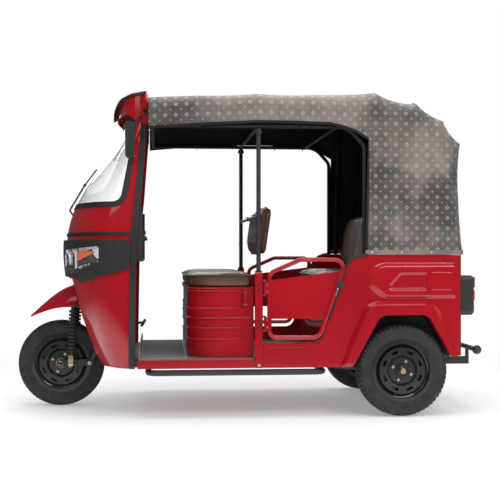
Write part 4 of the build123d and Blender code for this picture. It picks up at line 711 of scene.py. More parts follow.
class Grain(Enum):
    """Kinds of fine surface relief."""

    PEEL = "peel"
    HIDE = "hide"
    MOULDED = "moulded"
    BRUSHED = "brushed"
    CAST = "cast"


def grain_group(kind: Grain) -> bpy.types.NodeTree:
    """Makes the relief of one kind of surface.

    Args:
        kind: The kind of relief.

    Returns:
        The group, with its Height and a Mask of the low places.
    """
    def fill(graph: Graph, given: bpy.types.Node) -> dict:
        """Adds the relief's nodes.

        Args:
            graph: The group's graph.
            given: The group's inputs.

        Returns:
            A socket for each output.
        """
        place, scale = graph.place(), given.outputs["Scale"]
        if kind is Grain.PEEL:
            height = low = graph.noise(place, scale, 2.0)
        elif kind is Grain.BRUSHED:
            drawn = graph.add("ShaderNodeMapping", {"Vector": place, "Scale": (0.06, 1.0, 1.0)})
            height = low = graph.noise(drawn.outputs[0], scale, 4.0)
        else:
            cells = graph.add("ShaderNodeTexVoronoi", {"Vector": place, "Scale": scale},
                              feature="DISTANCE_TO_EDGE" if kind is Grain.HIDE else "F1")
            low = graph.fade(cells.outputs[0], 0.0, 0.22 if kind is Grain.HIDE else 0.6)
            fine = graph.noise(place, graph.times(scale, 2.3), 4.0, 0.6)
            share = {Grain.HIDE: 0.35, Grain.MOULDED: 0.7, Grain.CAST: 1.4}[kind]
            height = graph.plus(low, graph.times(fine, share))
        return {"Height": height, "Mask": low}
    return effect_group("grain_" + kind.value, {"Scale": 400.0}, ["Height", "Mask"], fill)


@dataclass(frozen=True)
class Look:
    """A finish, which is built as one material.

    Attributes:
        name: Name of the material.
    """

    name: str

    def fill(self, graph: Graph, shader: bpy.types.Node) -> None:
        """Adds the finish's nodes."""
        raise NotImplementedError

    def material(self) -> bpy.types.Material:
        """Builds the material, once.

        Returns:
            The material.
        """
        made = bpy.data.materials.get(self.name)
        if not made:
            made = bpy.data.materials.new(self.name)
            made.use_nodes = True
            self.fill(Graph(made.node_tree), made.node_tree.nodes["Principled BSDF"])
        return made


@dataclass(frozen=True)
class Finish(Look):
    """An opaque finish: colour, gloss, relief, dust and wear.

    Attributes:
        colour: Its main colour.
        shade: Colour of its uneven patches.
        roughness: Roughness where it is clean.
        metallic: Whether it is metal.
        coat: Weight of a clear coat over it.
        grain: Kind of relief.
        scale: Cells of relief in a metre.
        relief: Height of the relief.
        dust: Amount of dust near the ground.
        scuff: Amount of rubbed streaks.
        patches: Patches in a metre.
        gloss: Strength of the mirror-like reflection under any coat.
    """

    colour: Colour
    shade: Colour
    roughness: float
    metallic: float = 0.0
    coat: float = 0.0
    grain: Grain = Grain.PEEL
    scale: float = 300.0
    relief: float = 0.0001
    dust: float = 0.0
    scuff: float = 0.0
    patches: float = 3.0
    gloss: float = 0.35

    def fill(self, graph: Graph, shader: bpy.types.Node) -> None:
        """Adds the opaque finish's nodes.

        Args:
            graph: The material's graph.
            shader: Its shader.
        """
        patch = graph.effect(blotch_group(), Scale=self.patches).outputs[0]
        grain = graph.effect(grain_group(self.grain), Scale=self.scale)
        colour = graph.mix(patch, (*self.colour, 1), (*self.shade, 1))
        low = graph.times(graph.sum("SUBTRACT", 1.0, grain.outputs["Mask"]), 0.25)
        if self.grain in (Grain.HIDE, Grain.CAST):
            colour = graph.mix(low, colour, (*[c * LOW_SHADE for c in self.shade], 1))
        rough = graph.plus(graph.times(patch, 0.05), self.roughness)
        if self.scuff:
            streak = graph.effect(scuff_group(), Amount=self.scuff).outputs[0]
            pale = tuple(min(1.0, c * 1.5 + 0.03) for c in self.colour)
            colour = graph.mix(streak, colour, (*pale, 1))
            rough = graph.plus(rough, graph.times(streak, 0.25))
        if self.dust:
            dust = graph.effect(dust_group(), Amount=self.dust, Top=DUST_TOP).outputs[0]
            colour = graph.mix(dust, colour, DUST_COLOUR)
            rough = graph.plus(rough, graph.times(dust, 0.4))
        bump = graph.add("ShaderNodeBump", {"Height": grain.outputs["Height"], "Distance": self.relief})
        graph.feed(shader, {"Base Color": colour, "Roughness": rough, "Normal": bump.outputs[0],
                            "Specular IOR Level": self.gloss, "Metallic": self.metallic,
                            "Coat Weight": self.coat, "Coat Roughness": COAT_ROUGHNESS})


@dataclass(frozen=True)
class Clear(Look):
    """A clear or tinted see-through finish.

    Attributes:
        colour: Tint.
        roughness: Roughness of the surface.
        ior: Refraction.
    """

    colour: Colour
    roughness: float
    ior: float

    def fill(self, graph: Graph, shader: bpy.types.Node) -> None:
        """Adds the clear finish's nodes.

        Args:
            graph: The material's graph.
            shader: Its shader.
        """
        smear = graph.effect(blotch_group(), Scale=5.0).outputs[0]
        gloss = graph.plus(graph.times(smear, 0.03), self.roughness)
        graph.feed(shader, {"Roughness": gloss, "Base Color": (*self.colour, 1), "Transmission Weight": 1.0,
                            "IOR": self.ior})


@dataclass(frozen=True)
class PrintedCloth(Look):
    """The canopy's coated cloth, with a plain printed lattice, faded in patches.

    Attributes:
        ground: Colour of the cloth.
        faded: Colour of its faded patches.
        motif: Colour of the print.
        pitch: Distance between motifs.
    """

    name: str = "printed_cloth"
    ground: Colour = (0.033, 0.028, 0.026)
    faded: Colour = (0.190, 0.158, 0.138)
    motif: Colour = (0.34, 0.30, 0.265)
    pitch: float = 0.056

    def lattice(self) -> bpy.types.NodeTree:
        """Makes the print: open diamonds, with dots between them.

        Returns:
            The group.
        """
        def fill(graph: Graph, given: bpy.types.Node) -> dict:
            """Adds the print's nodes.

            Args:
                graph: The group's graph.
                given: The group's inputs.

            Returns:
                A socket for each output.
            """
            flat = graph.add("ShaderNodeUVMap", uv_map="cloth").outputs[0]
            parts = graph.add("ShaderNodeSeparateXYZ", {0: flat})
            cells = [graph.sum("DIVIDE", parts.outputs[k], given.outputs["Pitch"]) for k in (0, 1)]

            def offsets(shift: float) -> list[bpy.types.NodeSocket]:
                """Distances from the nearest motif's middle, in both directions.

                Args:
                    shift: Shift of the lattice, in cells.

                Returns:
                    The two distances.
                """
                moved = [graph.sum("FRACT", graph.plus(cell, shift)) for cell in cells]
                return [graph.sum("ABSOLUTE", graph.sum("SUBTRACT", m, 0.5)) for m in moved]

            across, up = offsets(0.0)
            diamond = graph.plus(across, up)
            inner, outer = graph.fade(diamond, 0.12, 0.14), graph.fade(diamond, 0.19, 0.21, 1.0, 0.0)
            ring = graph.times(inner, outer)
            pip = graph.fade(diamond, 0.03, 0.05, 1.0, 0.0)
            across, up = offsets(0.5)
            far = graph.sum("SQRT", graph.plus(graph.times(across, across), graph.times(up, up)))
            dot = graph.fade(far, 0.055, 0.075, 1.0, 0.0)
            return {"Mask": graph.sum("MAXIMUM", graph.sum("MAXIMUM", ring, pip), dot)}
        return effect_group("printed_lattice", {"Pitch": 0.06}, ["Mask"], fill)

    def weave(self) -> bpy.types.NodeTree:
        """Makes the relief of the cloth's threads.

        Returns:
            The group.
        """
        def fill(graph: Graph, given: bpy.types.Node) -> dict:
            """Adds the threads' nodes.

            Args:
                graph: The group's graph.
                given: The group's inputs.

            Returns:
                A socket for each output.
            """
            flat = graph.add("ShaderNodeUVMap", uv_map="cloth").outputs[0]
            waves = [graph.add("ShaderNodeTexWave", {"Vector": flat, "Scale": given.outputs["Threads"]},
                               bands_direction=way).outputs[1] for way in ("X", "Y")]
            return {"Height": graph.times(waves[0], waves[1])}
        return effect_group("cloth_threads", {"Threads": THREADS}, ["Height"], fill)

    def fill(self, graph: Graph, shader: bpy.types.Node) -> None:
        """Adds the cloth's nodes.

        Args:
            graph: The material's graph.
            shader: Its shader.
        """
        broad = graph.effect(blotch_group(), Scale=2.1).outputs[0]
        fine = graph.effect(blotch_group(), Scale=11.0).outputs[0]
        fade = graph.times(graph.plus(graph.times(fine, 0.35), broad), 0.7)
        cloth = graph.mix(fade, (*self.ground, 1), (*self.faded, 1))
        mask = graph.effect(self.lattice(), Pitch=self.pitch).outputs[0]
        wear = graph.fade(graph.noise(graph.place(), 90.0, 4.0), 0.3, 0.5, 0.5, 0.95)
        colour = graph.mix(graph.times(mask, wear), cloth, (*self.motif, 1))
        threads = graph.effect(self.weave(), Threads=THREADS).outputs[0]
        tug = graph.add("ShaderNodeMapping", {"Vector": graph.place(), "Scale": (7.0, 7.0, 2.6)}).outputs[0]
        crumple = graph.times(graph.noise(graph.place(), 26.0, 3.0), 0.25)
        wrinkle = graph.plus(graph.noise(tug, 1.0, 4.0, 0.6), crumple)
        height = graph.plus(graph.times(threads, 0.03), wrinkle)
        bump = graph.add("ShaderNodeBump", {"Height": height, "Distance": 0.011})
        graph.feed(shader, {"Base Color": colour, "Normal": bump.outputs[0], "Sheen Weight": 0.15,
                            "Roughness": graph.plus(graph.times(fade, 0.15), 0.42)})


RED_PAINT = Finish("red_paint", (0.305, 0.003, 0.009), (0.265, 0.002, 0.007), 0.28, coat=0.9, relief=0.00002,
                   scale=300.0, dust=0.03, gloss=0.12)
BLACK_PAINT = Finish("black_paint", (0.012, 0.012, 0.013), (0.018, 0.018, 0.019), 0.3, coat=0.25,
                     relief=0.00003, dust=0.05, scuff=0.08)
WHEEL_PAINT = Finish("wheel_paint", (0.010, 0.010, 0.011), (0.015, 0.015, 0.016), 0.26, coat=0.4,
                     relief=0.00003, dust=0.04)
MOULDING = Finish("black_moulding", (0.020, 0.019, 0.019), (0.027, 0.026, 0.026), 0.4, grain=Grain.MOULDED,
                  scale=900.0, relief=0.00012, scuff=0.08)
RUBBER = Finish("black_rubber", (0.013, 0.0125, 0.012), (0.021, 0.020, 0.019), 0.52, grain=Grain.MOULDED,
                scale=700.0, relief=0.0001, dust=0.05)
MAT_RUBBER = Finish("mat_rubber", (0.105, 0.096, 0.088), (0.135, 0.124, 0.115), 0.5, grain=Grain.MOULDED,
                    scale=420.0, relief=0.0003, dust=0.08, patches=6.0)
TYRE_RUBBER = Finish("tyre_rubber", (0.013, 0.013, 0.013), (0.022, 0.021, 0.020), 0.62, grain=Grain.MOULDED,
                     scale=800.0, relief=0.00015, dust=0.07, patches=9.0)
HIDE = Finish("brown_hide", (0.115, 0.052, 0.030), (0.075, 0.033, 0.020), 0.36, coat=0.25, grain=Grain.HIDE,
              scale=420.0, relief=0.0004, scuff=0.15, patches=5.0)
PIPING = Finish("dark_piping", (0.035, 0.018, 0.012), (0.05, 0.025, 0.016), 0.45, grain=Grain.HIDE,
                scale=600.0, relief=0.0002)
DARK_STEEL = Finish("dark_steel", (0.16, 0.15, 0.15), (0.10, 0.10, 0.10), 0.42, metallic=1.0,
                    grain=Grain.BRUSHED, scale=500.0, relief=0.00005)
HEM_CLOTH = Finish("hem_cloth", (0.125, 0.108, 0.097), (0.175, 0.150, 0.134), 0.5, grain=Grain.BRUSHED,
                   scale=700.0, relief=0.0004, patches=7.0)
LINING = Finish("black_lining", (0.008, 0.008, 0.009), (0.014, 0.014, 0.015), 0.8, grain=Grain.MOULDED,
                scale=500.0, relief=0.0002)
WEBBING = Finish("black_webbing", (0.007, 0.007, 0.007), (0.012, 0.012, 0.012), 0.75, grain=Grain.BRUSHED,
                 scale=900.0, relief=0.0003)
STEEL = Finish("bright_steel", (0.62, 0.61, 0.60), (0.50, 0.49, 0.48), 0.24, metallic=1.0,
               grain=Grain.BRUSHED, scale=500.0, relief=0.00005)
ZINC = Finish("yellow_zinc", (0.62, 0.48, 0.33), (0.46, 0.37, 0.27), 0.34, metallic=1.0, grain=Grain.BRUSHED,
              scale=400.0, relief=0.00005)
MIRRORED = Finish("mirror_glass", (0.9, 0.9, 0.9), (0.82, 0.82, 0.84), 0.05, metallic=1.0, relief=0.00002)
REFLECTOR = Finish("reflector", (0.60, 0.61, 0.64), (0.50, 0.51, 0.55), 0.2, metallic=1.0, relief=0.00005)
LAMP_SHELL = Finish("lamp_shell", (0.050, 0.052, 0.058), (0.075, 0.077, 0.083), 0.3, grain=Grain.MOULDED,
                    scale=600.0, relief=0.0001)
CASTING = Finish("cast_metal", (0.24, 0.24, 0.24), (0.16, 0.16, 0.16), 0.5, metallic=0.9, grain=Grain.CAST,
                 scale=500.0, relief=0.0004, dust=0.35)
AMBER_PLATE = Finish("amber_reflector", (0.75, 0.13, 0.01), (0.6, 0.09, 0.01), 0.22, coat=0.6,
                     grain=Grain.MOULDED, scale=300.0, relief=0.0003)
RED_PLATE = Finish("red_lens", (0.34, 0.008, 0.006), (0.24, 0.005, 0.004), 0.16, coat=1.0,
                   grain=Grain.MOULDED, scale=200.0, relief=0.0003)
WHITE_PLATE = Finish("white_lens", (0.7, 0.7, 0.7), (0.6, 0.6, 0.6), 0.16, coat=1.0, grain=Grain.MOULDED,
                     scale=200.0, relief=0.0003)
GLASS = Clear("clear_glass", (0.99, 0.995, 0.995), 0.0, 1.3)
LENS = Clear("lamp_lens", (0.97, 0.98, 1.0), 0.01, 1.3)


# The vehicle's assemblies

@dataclass(frozen=True)
class Panel:
    """A soft panel of light.

    Attributes:
        name: Name of the light.
        place: Where it hangs.
        target: What it shines at.
        size: Width and height of the panel.
        power: Its power in watts.
    """

    name: str
    place: tuple[float, float, float]
    target: tuple[float, float, float]
    size: tuple[float, float]
    power: float

    def hang(self) -> None:
        """Adds the light."""
        lamp = bpy.data.lights.new(self.name, "AREA")
        lamp.shape = "RECTANGLE"
        lamp.size, lamp.size_y = self.size
        lamp.energy = self.power
        holder = bpy.data.objects.new(self.name, lamp)
        holder.location = self.place
        holder.visible_camera = False
        holder.rotation_mode = "QUATERNION"
        holder.rotation_quaternion = (Vector(self.target) - Vector(self.place)).to_track_quat("-Z", "Y")
        bpy.context.collection.objects.link(holder)


MIDDLE = (0, 0, 0.8)
PANELS = (
    Panel("top_light", (0.2, 0.0, 4.6), (0, 0, 0), (5.0, 4.0), 210.0),
    Panel("left_light", (-2.6, -5.2, 3.4), MIDDLE, (3.0, 2.2), 40.0),
    Panel("right_light", (4.6, -3.6, 2.6), MIDDLE, (2.4, 2.4), 50.0),
    Panel("side_panel", (1.8, -4.4, 3.5), (0.6, -0.62, 0.7), (3.4, 1.3), 80.0),
    Panel("back_light", (0.0, 5.5, 3.4), MIDDLE, (5.0, 2.5), 110.0),
)


@dataclass
class Studio:
    """Floor, lights and camera.

    Attributes:
        camera: Where the camera stands.
        turn: How far it is turned to the right, in degrees.
        lens: Focal length in millimetres.
        floor: Radius of the floor.
        fill: Strength of the light from all round.
        glow: Strength of the surround in reflections.
    """

    camera: tuple[float, float, float] = (-0.4977, -6.2709, 0.8913)
    turn: float = 5.0
    lens: float = 77.4
    floor: float = 7.0
    fill: float = 0.80
    glow: float = 0.07

    def lay_floor(self) -> None:
        """Lays a pale floor with a faint gloss."""
        rings = [(0.0, 0.001), *[(0.0, self.floor * k / 6) for k in range(1, 7)]]
        disc = turned("floor", rings, Vector(), UP, 96)
        pale = bpy.data.materials.new("pale_floor")
        pale.use_nodes = True
        shader = pale.node_tree.nodes["Principled BSDF"]
        graph = Graph(pale.node_tree)
        cloud = graph.noise(graph.place(), 0.8, 3.0)
        reach = graph.add("ShaderNodeVectorMath", {0: graph.place()}, operation="LENGTH").outputs["Value"]
        graph.feed(shader, {
            "Base Color": graph.mix(cloud, (0.92, 0.925, 0.93, 1), (0.95, 0.95, 0.95, 1)),
            "Alpha": graph.fade(reach, self.floor * 0.28, self.floor * 0.56, 1.0, 0.0),
            "Roughness": 0.12, "Specular IOR Level": 0.35,
            "Emission Color": (1, 1, 1, 1), "Emission Strength": 0.25})
        disc.data.materials.append(pale)

    def light(self) -> None:
        """Hangs the lights and sets the pale surround."""
        for panel in PANELS:
            panel.hang()
        world = bpy.data.worlds.new("studio")
        bpy.context.scene.world = world
        world.use_nodes = True
        graph = Graph(world.node_tree)
        surround = world.node_tree.nodes["Background"]
        surround.inputs[0].default_value = (1, 1, 1, 1)
        ray = graph.add("ShaderNodeLightPath").outputs
        open_way = graph.sum("MAXIMUM", ray["Is Camera Ray"], ray["Is Transmission Ray"])
        fill = graph.times(ray["Is Diffuse Ray"], self.fill)
        power = graph.sum("MAXIMUM", open_way, graph.sum("MAXIMUM", fill, self.glow))
        world.node_tree.links.new(power, surround.inputs[1])

    def aim_camera(self) -> None:
        """Stands the camera level at the vehicle's left."""
        eye = bpy.data.cameras.new("camera")
        eye.lens = self.lens
        eye.sensor_width = 36.0
        holder = bpy.data.objects.new("camera", eye)
        holder.location = self.camera
        holder.rotation_euler = (math.radians(90), 0, -math.radians(self.turn))
        bpy.context.collection.objects.link(holder)
        bpy.context.scene.camera = holder

    def build(self) -> None:
        """Builds the studio."""
        self.lay_floor()
        self.light()
        self.aim_camera()
        bpy.context.scene.view_settings.view_transform = "Standard"


@dataclass
class Wheel:
    """One road wheel.

    Attributes:
        label: Start of its pieces' names.
        body: Body that it turns with.
        hub: Middle of the wheel.
        side: Which way its outer face looks, along Y.
        nodes: Its tyre's and rim's CAD nodes.
        pitches: Count of tread blocks round the tyre.
    """

    label: str
    body: str
    hub: Vector
    side: float
    nodes: tuple[str, str]
    pitches: int = 56

    def spot(self, out: float, radius: float, turn: float) -> Vector:
        """Gives a point of the wheel from its distance outward, radius and angle."""
        return self.hub + Vector((radius * math.sin(turn), self.side * out, radius * math.cos(turn)))

    def tyre_section(self) -> list[tuple[float, float, float]]:
        """Gives half the tyre's section: distance outward, radius and depth of its cross grooves.

        Returns:
            The points of the half section.
        """
        return [
            (0.0488, 0.1524, 0), (0.0492, 0.160, 0), (0.0500, 0.1665, 0), (0.0522, 0.1705, 0),
            (0.0524, 0.1745, 0), (0.0518, 0.1765, 0), (0.0535, 0.182, 0), (0.0550, 0.190, 0),
            (0.0557, 0.199, 0), (0.0555, 0.208, 0), (0.0548, 0.2145, 0), (0.0549, 0.2160, 0),
            (0.0541, 0.2205, 0.0015), (0.0529, 0.2255, 0.004), (0.0507, 0.2310, 0.005),
            (0.0475, 0.2362, 0.0058), (0.0430, 0.2398, 0.006), (0.0372, 0.2418, 0.006),
            (0.0315, 0.2426, 0.006), (0.0308, 0.2368, 0), (0.0268, 0.2368, 0), (0.0260, 0.2433, 0.004),
            (0.0175, 0.2443, 0.004), (0.0092, 0.2447, 0.004), (0.0084, 0.2388, 0), (0.0050, 0.2388, 0),
            (0.0042, 0.2449, 0), (0.0, 0.2450, 0),
        ]

    def tyre(self) -> bpy.types.Object:
        """Builds the tyre with ribs, grooves and blocks.

        Returns:
            The tyre.
        """
        half = self.tyre_section()
        section = [*half, *[(-out, radius, depth) for out, radius, depth in reversed(half[:-1])]]
        steps = (0.0, 0.74, 0.80, 0.94)
        points = []
        for k in range(self.pitches * len(steps)):
            pitch, step = divmod(k, len(steps))
            for out, radius, depth in section:
                lag = 0.5 if out < 0 else 0.0
                slant = abs(out) * 3.0
                turn = math.tau * (pitch + steps[step] + lag + slant) / self.pitches
                points.append(self.spot(out, radius - (depth if step >= 2 else 0.0), turn))
        faces = grid_faces(self.pitches * len(steps), len(section), round_rows=True, round_columns=True)
        return add_mesh(self.label + "_tyre", points, faces, 32.0)

    def fittings(self) -> bpy.types.Object:
        """Builds the wheel nuts on their studs.

        Returns:
            The nuts.
        """
        out = Vector((0, self.side, 0))
        nut = capped((0, 0.0108), (0.008, 0.0108), (0.010, 0.0088))
        stud = [(0, 0.0064), (0.005, 0.0064), (0.0062, 0.0052), (0.0062, 0)]
        parts = []
        for k in range(4):
            turn = math.tau * (k + 0.25) / 4
            parts.append(turned("nut", nut, self.spot(0.0252, 0.053, turn), out, 6, HEX_CREASE))
            parts.append(turned("stud", stud, self.spot(0.0352, 0.053, turn), out, 16))
        return merged(self.label + "_nuts", parts)

    def hub_cap(self) -> bpy.types.Object:
        """Builds the ring or the nut at the wheel's middle.

        Returns:
            The ring or nut.
        """
        out = Vector((0, self.side, 0))
        if self.label.startswith("front"):
            ring = [(0, 0.012), (0, 0.030), (0.003, 0.030), (0.0045, 0.0285), (0.0045, 0.012)]
            return turned(self.label + "_hub_ring", ring, self.hub + out * 0.0442, out, 40)
        nut = capped((0, 0.0150), (0.004, 0.0150), (0.006, 0.0125))
        return turned(self.label + "_hub_nut", nut, self.hub + out * 0.0602, out, 32)

    def splash_plate(self) -> bpy.types.Object:
        """Builds the plate behind the windows of the wheel's disc.

        Returns:
            The plate.
        """
        shape = [(0, 0.036), (0, 0.124), (0.006, 0.128), (0.009, 0.128), (0.003, 0.120), (0.003, 0.036),
                 (0, 0.036)]
        out = Vector((0, self.side, 0))
        return turned(self.label + "_splash_plate", shape, self.spot(0.008, 0, 0), out, 64)

    def valve(self) -> bpy.types.Object:
        """Builds the tyre's valve.

        Returns:
            The valve.
        """
        out = Vector((0, self.side, 0))
        turn = math.radians(200)
        base = self.spot(0.030, 0.1285, turn)
        shape = capped((0, 0.0050), (0.010, 0.0045), (0.011, 0.0030), (0.020, 0.0030), (0.020, 0.0042),
                       (0.030, 0.0042), (0.031, 0.0034))
        return turned(self.label + "_valve", shape, base, out, 16)

    def build(self) -> None:
        """Builds the wheel and dresses it."""
        dress(self.tyre(), TYRE_RUBBER, self.body, (self.nodes[0],))
        coat_nodes(WHEEL_PAINT, self.nodes[1])
        dress(self.fittings(), STEEL, self.body)
        dress(self.hub_cap(), ZINC, self.body)
        dress(self.valve(), RUBBER, self.body)
        dress(self.splash_plate(), WHEEL_PAINT, self.body)


@dataclass
class Nose:
    """Cowl, windshield, lamps, roof peak and what is fixed to them.

    Attributes:
        front_arc: Radius of the nose's front in plan.
        front_x: Foremost x of the nose.
        corner_arc: Radius of its corners.
        corner: Middle of a corner's arc, as x and y.
        turn_off: Angle where the front arc meets the corner.
        lamp_floor: How far the lamps' inner parts stand out of the panel.
    """

    front_arc: float = 0.9
    front_x: float = 0.04
    corner_arc: float = 0.19
    corner: tuple[float, float] = (0.3435, 0.385)
    turn_off: float = 0.5731
    lamp_floor: float = 0.0075

    def skin(self, run: float, height: float, proud: float) -> Vector:
        """Gives a point of the nose's left side at lamp height.

        Args:
            run: Distance round the nose from its middle.
            height: Height over the ground.
            proud: Distance out from the panel.

        Returns:
            The point.
        """
        bend = self.front_arc * self.turn_off
        if run <= bend:
            angle = run / self.front_arc
            reach = self.front_arc + proud
            x = self.front_x + self.front_arc - reach * math.cos(angle)
            return at(x, -reach * math.sin(angle), height)
        angle = self.turn_off + (run - bend) / self.corner_arc
        reach = self.corner_arc + proud
        return at(self.corner[0] - reach * math.cos(angle), -self.corner[1] - reach * math.sin(angle), height)

    def lamp_edges(self, run: float) -> tuple[float, float]:
        """Gives the lamp opening's lowest and highest z at a distance round the nose.

        Args:
            run: Distance round the nose from its middle.

        Returns:
            The lowest and the highest z.
        """
        x = self.skin(run, 0, 0.015).x - FRONT_AXLE_X
        low = [(0.04, 0.757), (0.108, 0.782), (0.238, 0.829), (0.255, 0.9)]
        z = low[-1][1]
        for (x0, z0), (x1, z1) in zip(low, low[1:]):
            if x <= x1:
                z = z0 + (z1 - z0) * max(0.0, (x - x0) / (x1 - x0))
                break
        return z, 0.891 + 0.12 * max(0.0, x - 0.04)

    def patch(self, name: str, runs: tuple[float, float], rise: Callable[[float], tuple[float, float]],
              proud: Callable[[float, float], float], thick: float,
              steps: tuple[int, int] = (36, 12)) -> bpy.types.Object:
        """Makes a curved panel in the lamp.

        Args:
            name: Name of the piece.
            runs: First and last distance round the nose.
            rise: Shares of the opening's height that it spans, at each share along.
            proud: Its distance out from the nose at each share along and up.
            thick: Its thickness.
            steps: Counts of faces along and up.

        Returns:
            The piece.
        """
        sides = []
        for depth in (0.0, thick):
            rows = []
            for i in range(steps[0] + 1):
                along = i / steps[0]
                run = runs[0] + (runs[1] - runs[0]) * along
                low, top = self.lamp_edges(run)
                first, last = rise(along)
                ups = [j / steps[1] for j in range(steps[1] + 1)]
                heights = [low + (top - low) * (first + (last - first) * up) for up in ups]
                rows.append([self.skin(run, z, proud(along, up) + depth) for up, z in zip(ups, heights)])
            sides.append(rows)
        return shell_of(name, sides[0], sides[1])

    def bowl(self, name: str, run: float, height: float, radius: float) -> bpy.types.Object:
        """Makes a round reflector that faces out of the lamp.

        Args:
            name: Name of the piece.
            run: Its middle, as a distance round the nose.
            height: Its middle's height.
            radius: Its radius.

        Returns:
            The new piece.
        """
        points = []
        rings, sides = 8, 40
        for i in range(rings + 1):
            share = i / rings
            for k in range(sides):
                turn = math.tau * k / sides
                round_run, rise = radius * share * math.cos(turn), radius * share * math.sin(turn)
                points.append(self.skin(run + round_run, height + rise, self.lamp_floor + 0.012 * share ** 2))
        return add_mesh(name, points, grid_faces(rings + 1, sides, round_columns=True), 60.0)

    def lamps(self) -> None:
        """Fills the headlamps with reflectors, a light guide and an indicator."""
        base = self.lamp_floor
        back = self.patch("back", (0.150, 0.622), lambda a: (-0.02, 1.03), lambda a, u: 0.0050, 0.0015)
        paired("lamp_backs", [back], LAMP_SHELL)
        bulbs_at = ((0.250, 0.833, 0.039), (0.345, 0.840, 0.037))
        bowls = [self.bowl("bowl", run, z, radius) for run, z, radius in bulbs_at]
        brow = self.patch("brow", (0.200, 0.600), lambda a: (0.86, 0.985),
                          lambda a, u: base + 0.005 * u, 0.0012)
        facet = self.patch("facet", (0.566, 0.606), lambda a: (0.60 - 0.48 * a, 0.84),
                           lambda a, u: base + 0.006 * a, 0.0012, (8, 8))
        shelf = self.patch("shelf", (0.436, 0.600), lambda a: (0.03, 0.10),
                           lambda a, u: base + 0.004 * u, 0.0012)
        paired("lamp_reflectors", [*bowls, brow, facet, shelf], REFLECTOR)
        guide = self.patch("guide", (0.398, 0.424), lambda a: (0.04, 0.85), lambda a, u: base, 0.007, (3, 12))
        paired("lamp_guides", [guide], WHITE_PLATE)
        wedge = self.patch("wedge", (0.438, 0.572), lambda a: (0.36 + 0.22 * a, 0.83 - 0.10 * a),
                           lambda a, u: base + 0.003 * math.sin(u * 3.1), 0.006)
        paired("indicators", [wedge], AMBER_PLATE)
        shape = [(0, 0.004), (0.006, 0.006), (0.013, 0.004), (0.015, 0)]
        bulbs = [turned("bulb", shape, self.skin(run, z, base),
                        self.skin(run, z, 1.0) - self.skin(run, z, 0.0), 16) for run, z, _ in bulbs_at]
        paired("lamp_bulbs", bulbs, WHITE_PLATE)

    def mirrors(self) -> None:
        """Adds the mirrors' glass, clamps and amber reflectors."""
        y = -0.606
        corners = [at(0.4285, y + shift, z) for shift, z in
                   ((-0.011, 1.56), (0.011, 1.56), (0.011, 1.38), (-0.011, 1.38), (-0.011, 1.559))]
        face = slab("face", rounded(corners, 0.004, 3)[:-1], TO_BACK * 0.0015)
        paired("mirror_faces", [face], MIRRORED)
        spot = block("spot", at(0.3835, y - 0.002, 1.505), (0.012, 0.020, 0.052), 0.004)
        paired("mirror_spots", [spot], AMBER_PLATE)
        clamps = [turned("clamp", capped((0, 0.011), (0.014, 0.011), (0.018, 0.008)),
                         at(0.452, -0.5235, 1.6), TO_LEFT, 24)]
        paired("mirror_clamps", clamps, BLACK_PAINT)

    def build(self) -> None:
        """Dresses the nose."""
        coat_nodes(RED_PAINT, "front_cowl", "roof_peak")
        coat_nodes(RUBBER, "windshield_seal", "cowl_trim")
        coat_nodes(MOULDING, "headlamp_panel", "visor", "mirrors")
        coat_nodes(GLASS, "windshield")
        coat_nodes(LENS, "headlamps")
        coat_nodes(BLACK_PAINT, "wiper", "bulkhead", "steering_head")
        self.lamps()
        self.mirrors()


